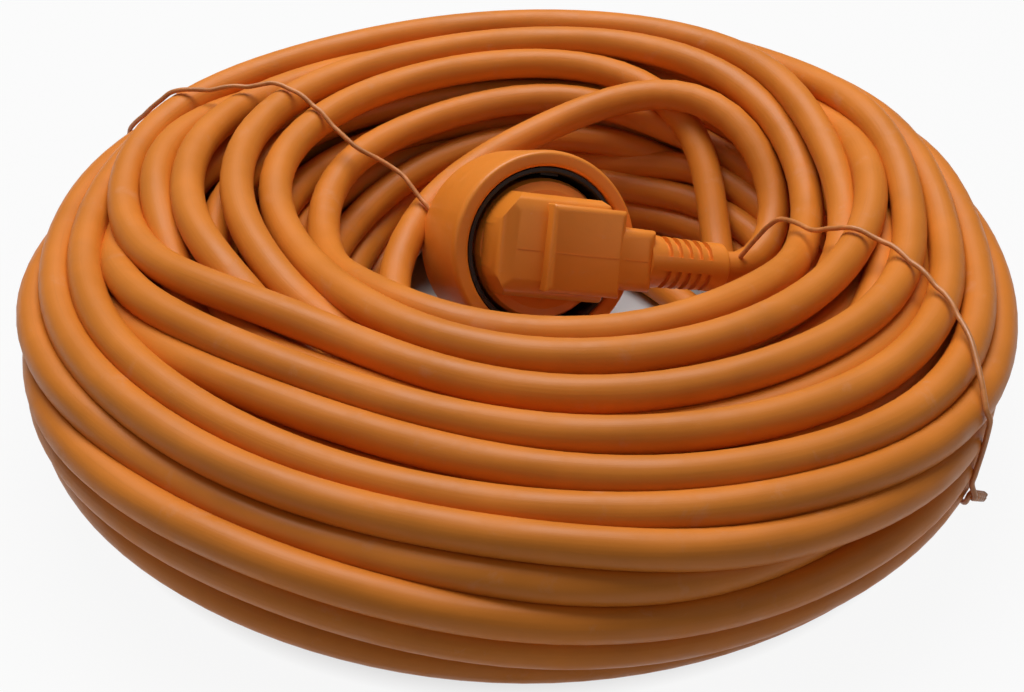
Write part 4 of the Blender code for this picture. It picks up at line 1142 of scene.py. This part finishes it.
SHELL_RADIUS = 0.0258
BORE_RADIUS = 0.0216
BORE_LEDGE = -0.0211
SHELL_ROUNDING = 0.0011
RELIEF_RADIUS, RELIEF_END_RADIUS = 0.0066, 0.0062
RELIEF_START, RELIEF_END = -0.0512, -0.0648
CORD_BORE = 0.0046
# Outside and inside of the shell, as radius and height.
SHELL_OUTLINE = (
    (BORE_RADIUS, BORE_LEDGE), (BORE_RADIUS, -0.0002), (SHELL_RADIUS - 0.0006, 0.0),
    (SHELL_RADIUS, -0.0016), (SHELL_RADIUS - 0.0006, -0.0265),
    (SHELL_RADIUS - 0.0048, -0.0330), (0.0174, -0.0392), (0.0162, -0.0420),
    (0.0149, -0.0434), (0.0082, -0.0505), (RELIEF_RADIUS, RELIEF_START))
SHELL_INSIDE = (
    (CORD_BORE, RELIEF_END), (CORD_BORE, -0.0500), (0.0123, -0.0430), (0.0123, -0.0394),
    (0.0158, -0.0394), (0.0158, BORE_LEDGE), (BORE_RADIUS, BORE_LEDGE))

# Slots of the reliefs: pitch, width and, for each relief, number, first and depth.
SLOT_PITCH, SLOT_WIDTH = 0.0030, 0.0015
COUPLER_SLOTS = (3, 0.0030, 0.0013)
PLUG_SLOTS = (5, 0.0045, 0.0014)
TIP_ROUNDING = 0.0010

EXIT_HEIGHT = 0.0076                # the plug's cord above the mouth
GRIP_EDGE = ((0.0181, -0.0030), (0.0181, 0.0120))   # the grip's ends follow the recess
# The plug's blocks: low corner, high corner, cut-back of the top edges, rounding.
GRIP = ((-0.0172 - SKIN, -0.0120 - SKIN, -0.0022), (0.0142, 0.0142, 0.0100 + SKIN),
        0.0044, 0.0006)
PAD = ((-0.0050 - SKIN, -0.0100 - SKIN, -0.0010), (0.0152 + SKIN, 0.0122, 0.0140 + SKIN),
       0.0013, 0.0005)
NECK = ((0.0120, -0.0078 - SKIN, 0.0006), (0.0245 + SKIN, 0.0078 + SKIN, 0.0139 + SKIN),
        0.0022, 0.0007)
PLUG_RELIEF_START, PLUG_RELIEF_END = 0.0235, 0.0467
PLUG_RELIEF_RADII = (0.0069 + SKIN, 0.0063 + SKIN)
# The plain band between the slots: its length on the relief, and what it is cut by.
BAND_ENDS = (0.0237, 0.0456)
BAND_STRIP = ((-0.0100, -0.0019, 0.0200), (0.0100, 0.0019, 0.0460))
# The moulding's seam along the grip, pad and neck: start, end, bottom and top.
SEAM_HALF = 0.00012
SEAM_LINES = ((-0.0126, -0.0050, 0.0090, 0.01027), (-0.0040, 0.0142, 0.0130, 0.01427),
              (0.0152, 0.0228, 0.0130, 0.01417))


def connector_place():
    """From the connectors' own measures to the object's."""
    turn = (Matrix.Rotation(math.radians(MOUTH_TURN), 4, "Z")
            @ Matrix.Rotation(math.radians(MOUTH_TILT), 4, "X")
            @ Matrix.Rotation(math.radians(EXIT_ROLL), 4, "Z"))
    return Matrix.Translation([number / 1000 for number in MOUTH]) @ turn


def rounded(points, radius):
    """An outline whose inner corners are rounded."""
    points = [Vector(p) for p in points]
    line = [points[0]]
    for before, corner, after in zip(points[:-2], points[1:-1], points[2:]):
        reach = min(radius, (before - corner).length * 0.45, (after - corner).length * 0.45)
        start = corner + (before - corner).normalized() * reach
        end = corner + (after - corner).normalized() * reach
        for t in (k / ROUNDING_PARTS for k in range(ROUNDING_PARTS + 1)):
            line.append(start * (1 - t) ** 2 + corner * 2 * t * (1 - t) + end * t ** 2)
    line.append(points[-1])
    return [tuple(p) for p in line]


def lathe(name, outline, sides, closed=False):
    """Draw a circle along an outline of (radius, height) pairs. A closed outline ends
    where it starts, and an open one gets flat ends."""
    bare_selection()
    radius, height = outline[0]
    bpy.ops.mesh.primitive_circle_add(vertices=sides, radius=radius, fill_type="NOTHING",
                                      location=(0.0, 0.0, height))
    piece = bpy.context.active_object
    piece.name = piece.data.name = name
    bpy.ops.object.transform_apply(location=True, rotation=False, scale=False)
    bpy.ops.object.mode_set(mode="EDIT")
    bpy.ops.mesh.select_all(action="SELECT")
    if not closed:
        bpy.ops.mesh.edge_face_add()
    for next_radius, next_height in outline[1:]:
        bpy.ops.mesh.extrude_region_move(TRANSFORM_OT_translate={"value": (0, 0, 0)})
        bpy.ops.transform.translate(value=(0, 0, next_height - height))
        bpy.ops.transform.resize(value=(next_radius / radius, next_radius / radius, 1),
                                 center_override=(0, 0, next_height))
        radius, height = next_radius, next_height
    bpy.ops.mesh.select_all(action="SELECT")
    bpy.ops.mesh.remove_doubles(threshold=1e-6)
    bpy.ops.mesh.normals_make_consistent(inside=False)
    bpy.ops.object.mode_set(mode="OBJECT")
    return piece


def block(name, low, high, cut_back=0.0, rounding=0.0):
    """A block whose top edges are cut back and whose other edges are eased."""
    bare_selection()
    low, high = Vector(low), Vector(high)
    bpy.ops.mesh.primitive_cube_add(size=1.0, location=(low + high) / 2)
    piece = bpy.context.active_object
    piece.name = piece.data.name = name
    piece.scale = high - low
    bpy.ops.object.transform_apply(location=True, rotation=False, scale=True)
    if cut_back:
        bpy.ops.object.mode_set(mode="EDIT")
        shape = bmesh.from_edit_mesh(piece.data)
        middle = (low.z + high.z) / 2
        for edge in shape.edges:
            edge.select = min(v.co.z for v in edge.verts) > middle
        bmesh.update_edit_mesh(piece.data)
        bpy.ops.mesh.bevel(offset=cut_back, segments=2, profile=0.5, affect="EDGES")
        bpy.ops.object.mode_set(mode="OBJECT")
    if rounding:
        ease(piece, rounding)
    return piece


def ease(piece, width):
    """Round the sharp edges of a piece."""
    bpy.context.view_layer.objects.active = piece
    soften = piece.modifiers.new("Eased edges", "BEVEL")
    soften.width, soften.segments, soften.limit_method = width, 3, "ANGLE"
    soften.angle_limit = math.radians(25)
    bpy.ops.object.modifier_apply(modifier=soften.name)


def keep_common(piece, other):
    """Keep what a piece shares with another, and drop the other."""
    bare_selection()
    bpy.context.view_layer.objects.active = piece
    piece.select_set(True)
    step = piece.modifiers.new("Common", "BOOLEAN")
    step.operation, step.solver, step.object = "INTERSECT", "EXACT", other
    bpy.ops.object.modifier_apply(modifier=step.name)
    bpy.data.objects.remove(other)


def lay_along_x(piece):
    """Turn a lathed piece so that its axis runs along the plug's cord."""
    piece.data.transform(Matrix.Translation((0, 0, EXIT_HEIGHT))
                         @ Matrix.Rotation(math.pi / 2, 4, "Y"))


def finish_moulding(pieces, name, body, material):
    """Join pieces, put them in place and give them the moulding's finish."""
    bare_selection()
    for piece in pieces:
        piece.select_set(True)
    bpy.context.view_layer.objects.active = pieces[0]
    if len(pieces) > 1:
        bpy.ops.object.join()
    piece = bpy.context.active_object
    piece.name = piece.data.name = name
    piece.data.transform(connector_place())
    bpy.ops.object.shade_smooth_by_angle(angle=math.radians(SMOOTH_ANGLE))
    piece.data.materials.clear()
    piece.data.materials.append(moulding_material(material, colours().moulding))
    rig.ride(piece, body)
    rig.slot(piece, "moulding")
    return piece


def slotted_outline(start, end, radius, end_radius, slots):
    """Outline of a relief: tapered, with ring slots and a rounded tip."""
    count, first, depth = slots
    points = [(radius, start)]
    way = 1 if end > start else -1
    length = abs(end - start)
    for k in range(count):
        place = first + k * SLOT_PITCH
        here = radius + (end_radius - radius) * place / length
        near, far = start + way * place, start + way * (place + SLOT_WIDTH)
        points += [(here - 0.0002, near - way * 0.0001), (here - depth, near),
                   (here - depth, far), (here - 0.0002, far + way * 0.0001)]
    points += rounded([(end_radius, end - way * 0.0016), (end_radius, end),
                       (end_radius - 0.0016, end)], TIP_ROUNDING)
    return points


class SHORE_CORD_OT_coupler(bpy.types.Operator):
    """Turn the coupler's shell: a cup with a rounded rim, a shoulder and a relief"""
    bl_idname = "shore_cord.coupler"
    bl_label = "Coupler Shell"

    def execute(self, context):
        cup = rounded(SHELL_OUTLINE, SHELL_ROUNDING)
        relief = slotted_outline(RELIEF_START, RELIEF_END, RELIEF_RADIUS, RELIEF_END_RADIUS,
                                 COUPLER_SLOTS)
        shell = lathe("shell", [*cup, *relief[1:], *SHELL_INSIDE], LATHE_SIDES, closed=True)
        piece = finish_moulding([shell], "coupler_cup", BUNDLE, "Coupler moulding")
        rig.replaces(piece, "coupler_shell")
        return {"FINISHED"}


class SHORE_CORD_OT_plug_grip(bpy.types.Operator):
    """Fit the plug's grip, its raised block, neck and slotted relief"""
    bl_idname = "shore_cord.plug_grip"
    bl_label = "Plug Grip"

    def execute(self, context):
        grip = block("grip", *GRIP)
        keep_common(grip, lathe("edge", GRIP_EDGE, LATHE_SIDES))
        outline = slotted_outline(PLUG_RELIEF_START, PLUG_RELIEF_END, *PLUG_RELIEF_RADII,
                                  PLUG_SLOTS)
        pieces = [grip, block("pad", *PAD), block("neck", *NECK),
                  lathe("relief", outline, RELIEF_SIDES),
                  lathe("band", list(zip(PLUG_RELIEF_RADII, BAND_ENDS)), RELIEF_SIDES)]
        keep_common(pieces[-1], block("strip", *BAND_STRIP))
        for piece in pieces[-2:]:
            lay_along_x(piece)
        pieces += [block("seam", (start, -SEAM_HALF, bottom), (end, SEAM_HALF, top))
                   for start, end, bottom, top in SEAM_LINES]
        finish_moulding(pieces, "plug_grip", PLUG, "Plug moulding")
        return {"FINISHED"}


class SHORE_CORD_OT_fittings(bpy.types.Operator):
    """Give the plug and the coupler their finishes"""
    bl_idname = "shore_cord.fittings"
    bl_label = "Plug and Coupler Finishes"

    def execute(self, context):
        look = colours()
        finishes = {
            "moulding": moulding_material("Orange moulding", look.moulding),
            "insert": insert_material("Black insert", look.insert),
            "contact_brass": metal_material("Contact brass", (0.72, 0.50, 0.20),
                                            (0.46, 0.29, 0.11), 0.24, 0.40),
            "nickel_plate": metal_material("Nickel plate", (0.72, 0.70, 0.66),
                                           (0.48, 0.46, 0.43), 0.18, 0.34),
            "tie_coating": tie_material("Tie coating", look.tie),
            "core_brown": core_material("Brown core", (0.110, 0.038, 0.016)),
            "core_blue": core_material("Blue core", (0.018, 0.080, 0.340)),
            "core_earth": core_material("Earth core", (0.170, 0.330, 0.030)),
            "cord_jacket": jacket_material("Cord jacket", look.jacket),
        }
        for name, node in frame["nodes"].items():
            for place in node.material_slots:
                kind = place.material.name.split(".")[0]
                if kind not in finishes:
                    raise RuntimeError(name + " has a slot without a finish: " + kind)
                place.material = finishes[kind]
        return {"FINISHED"}


# ----------------------------------------------------------------- the studio
CAMERA_PLACE = (0.0, -0.3474, 0.2556)
CAMERA_WAY = (0.0, 0.8171, -0.5764)
CAMERA_UP = (0.0, 0.5764, 0.8171)
FOCAL_PIXELS = 1600.0
PICTURE = (1024, 692)
PRINCIPAL_COLUMN = 515.7


def set_camera():
    """Place the camera that was fitted to the outline, a little off its middle column."""
    lens = bpy.data.cameras.new("Studio camera")
    lens.sensor_width = 36.0
    lens.lens = FOCAL_PIXELS / PICTURE[0] * lens.sensor_width
    lens.shift_x = (PICTURE[0] / 2 - PRINCIPAL_COLUMN) / PICTURE[0]
    lens.clip_start, lens.clip_end = 0.01, 20.0
    camera = bpy.data.objects.new("Studio camera", lens)
    bpy.context.scene.collection.objects.link(camera)
    back = -Vector(CAMERA_WAY).normalized()
    side = Vector(CAMERA_UP).cross(back).normalized()
    up = back.cross(side)
    turn = Matrix((side, up, back)).transposed().to_4x4()
    camera.matrix_world = Matrix.Translation(CAMERA_PLACE) @ turn
    bpy.context.scene.camera = camera


UNDER_WINDING = (0.090, 0.115)      # the floor inside the first radius keeps its shadow
FLOOR_WHITE = 0.92                  # how white the floor outside shows to the camera


def floor_material(colour):
    """Pale paper that shows white to the camera and keeps the soft shadow."""
    make = Recipe("Pale studio paper")
    place = make.where()
    fibre = make.noise(place, 260.0, 4.0, 0.6)
    base = make.mix(make.ramp(fibre, 0.3, 0.7), tinted(colour, 0.985), colour)
    make.finish(base, make.ramp(fibre, 0.3, 0.7, 0.70, 0.80),
                make.bumps((fibre, 0.05, 0.0001)))
    glow = make.nodes.new("ShaderNodeEmission")
    glow.inputs["Color"].default_value = (1, 1, 1, 1)
    glow.inputs["Strength"].default_value = 1.0
    ray = make.nodes.new("ShaderNodeLightPath")
    seen = make.maths("MAXIMUM", ray.outputs["Is Camera Ray"],
                      make.maths("MAXIMUM", ray.outputs["Is Glossy Ray"],
                                 ray.outputs["Is Transmission Ray"]))
    blend = make.nodes.new("ShaderNodeMixShader")
    output = next(n for n in make.nodes if n.type == "OUTPUT_MATERIAL")
    reach = make.nodes.new("ShaderNodeVectorMath")
    reach.operation = "LENGTH"
    make.join(place, reach.inputs[0])
    open_floor = make.ramp(reach.outputs["Value"], *UNDER_WINDING, 0.0, FLOOR_WHITE)
    make.join(make.maths("MULTIPLY", seen, open_floor), blend.inputs[0])
    make.join(make.shader.outputs[0], blend.inputs[1])
    make.join(glow.outputs[0], blend.inputs[2])
    make.join(blend.outputs[0], output.inputs[0])
    return make.material


def white_room(strength):
    """Weak even light, and a plain white backdrop for the camera."""
    world = bpy.data.worlds.new("White room")
    world.use_nodes = True
    bpy.context.scene.world = world
    nodes, links = world.node_tree.nodes, world.node_tree.links
    nodes.clear()
    output = nodes.new("ShaderNodeOutputWorld")
    plain, white = nodes.new("ShaderNodeBackground"), nodes.new("ShaderNodeBackground")
    for light, power in ((plain, strength), (white, 1.0)):
        light.inputs["Color"].default_value = (1, 1, 1, 1)
        light.inputs["Strength"].default_value = power
    ray, mix = nodes.new("ShaderNodeLightPath"), nodes.new("ShaderNodeMixShader")
    links.new(ray.outputs["Is Camera Ray"], mix.inputs[0])
    links.new(plain.outputs[0], mix.inputs[1])
    links.new(white.outputs[0], mix.inputs[2])
    links.new(mix.outputs[0], output.inputs[0])


LAMP_AIM = (0.0, 0.0, 0.03)
# Name, place and size of each lamp, and the setting that holds its power.
LAMPS = (("Key lamp", (-0.06, 0.34, 0.90), (0.8, 0.6), "key"),
         ("Left lamp", (-0.8, -0.5, 0.45), (0.5, 0.5), "fill"),
         ("Right lamp", (0.8, -0.4, 0.5), (0.5, 0.5), "fill"))
FLOOR_PLACE, FLOOR_SIZE, FLOOR_GRID = (0.0, 0.6, -0.0002), 6.0, 24


def soft_lamp(name, place, size, power):
    """A rectangular lamp turned to the middle of the bundle."""
    lamp = bpy.data.lights.new(name, "AREA")
    lamp.shape, lamp.size, lamp.size_y, lamp.energy = "RECTANGLE", size[0], size[1], power
    holder = bpy.data.objects.new(name, lamp)
    bpy.context.scene.collection.objects.link(holder)
    way = Vector(LAMP_AIM) - Vector(place)
    holder.matrix_world = (Matrix.Translation(place)
                           @ way.to_track_quat("-Z", "Y").to_matrix().to_4x4())


class SHORE_CORD_OT_studio(bpy.types.Operator):
    """Set the floor, the soft lamps and the camera"""
    bl_idname = "shore_cord.studio"
    bl_label = "Studio"

    def execute(self, context):
        look = context.scene.shore_cord_studio
        bare_selection()
        bpy.ops.mesh.primitive_grid_add(x_subdivisions=FLOOR_GRID, y_subdivisions=FLOOR_GRID,
                                        size=FLOOR_SIZE, location=FLOOR_PLACE)
        floor = context.active_object
        floor.name = floor.data.name = "studio_floor"
        bpy.ops.object.transform_apply(location=True, rotation=True, scale=True)
        floor.data.materials.append(floor_material(look.floor))
        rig.stage(floor)
        for name, place, size, power in LAMPS:
            soft_lamp(name, place, size, getattr(look, power))
        white_room(look.room)
        set_camera()
        context.scene.view_settings.view_transform = "Standard"
        return {"FINISHED"}


# -------------------------------------------------------------------- the panel
class SHORE_CORD_PT_panel(bpy.types.Panel):
    """Sizes, colours and steps of the shore power cord"""
    bl_idname = "SHORE_CORD_PT_panel"
    bl_label = "Shore Power Cord"
    bl_space_type = "VIEW_3D"
    bl_region_type = "UI"
    bl_category = "Shore Cord"

    def draw(self, context):
        layout, scene = self.layout, context.scene
        for group in (scene.shore_cord_sizes, scene.shore_cord_colours,
                      scene.shore_cord_studio):
            box = layout.box()
            for key in group.bl_rna.properties.keys():
                if key not in ("rna_type", "name"):
                    box.prop(group, key)
        for operator in STEPS:
            layout.operator(operator.bl_idname)


STEPS = (SHORE_CORD_OT_winding, SHORE_CORD_OT_plug_lead, SHORE_CORD_OT_ties,
         SHORE_CORD_OT_coupler, SHORE_CORD_OT_plug_grip, SHORE_CORD_OT_fittings,
         SHORE_CORD_OT_studio)
CLASSES = (CordSizes, CordColours, StudioLook, *STEPS, SHORE_CORD_PT_panel)


def register():
    for kind in CLASSES:
        bpy.utils.register_class(kind)
    bpy.types.Scene.shore_cord_sizes = bpy.props.PointerProperty(type=CordSizes)
    bpy.types.Scene.shore_cord_colours = bpy.props.PointerProperty(type=CordColours)
    bpy.types.Scene.shore_cord_studio = bpy.props.PointerProperty(type=StudioLook)


def unregister():
    for key in ("shore_cord_sizes", "shore_cord_colours", "shore_cord_studio"):
        delattr(bpy.types.Scene, key)
    for kind in reversed(CLASSES):
        bpy.utils.unregister_class(kind)


def plain_lists(box):
    """A box's corners as lists that json can write."""
    return [[float(x) for x in corner] for corner in box]


def main():
    register()
    bare_selection()
    bpy.ops.shore_cord.winding()
    bpy.ops.shore_cord.plug_lead()
    bpy.ops.shore_cord.ties()
    bpy.ops.shore_cord.coupler()
    bpy.ops.shore_cord.plug_grip()
    bpy.ops.shore_cord.fittings()
    bpy.ops.shore_cord.studio()
    with open("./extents.json", "w") as report:
        json.dump({"cad": plain_lists(CAD_BOX), "visual": plain_lists(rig.bounds())}, report)


if __name__ == "__main__":
    main()
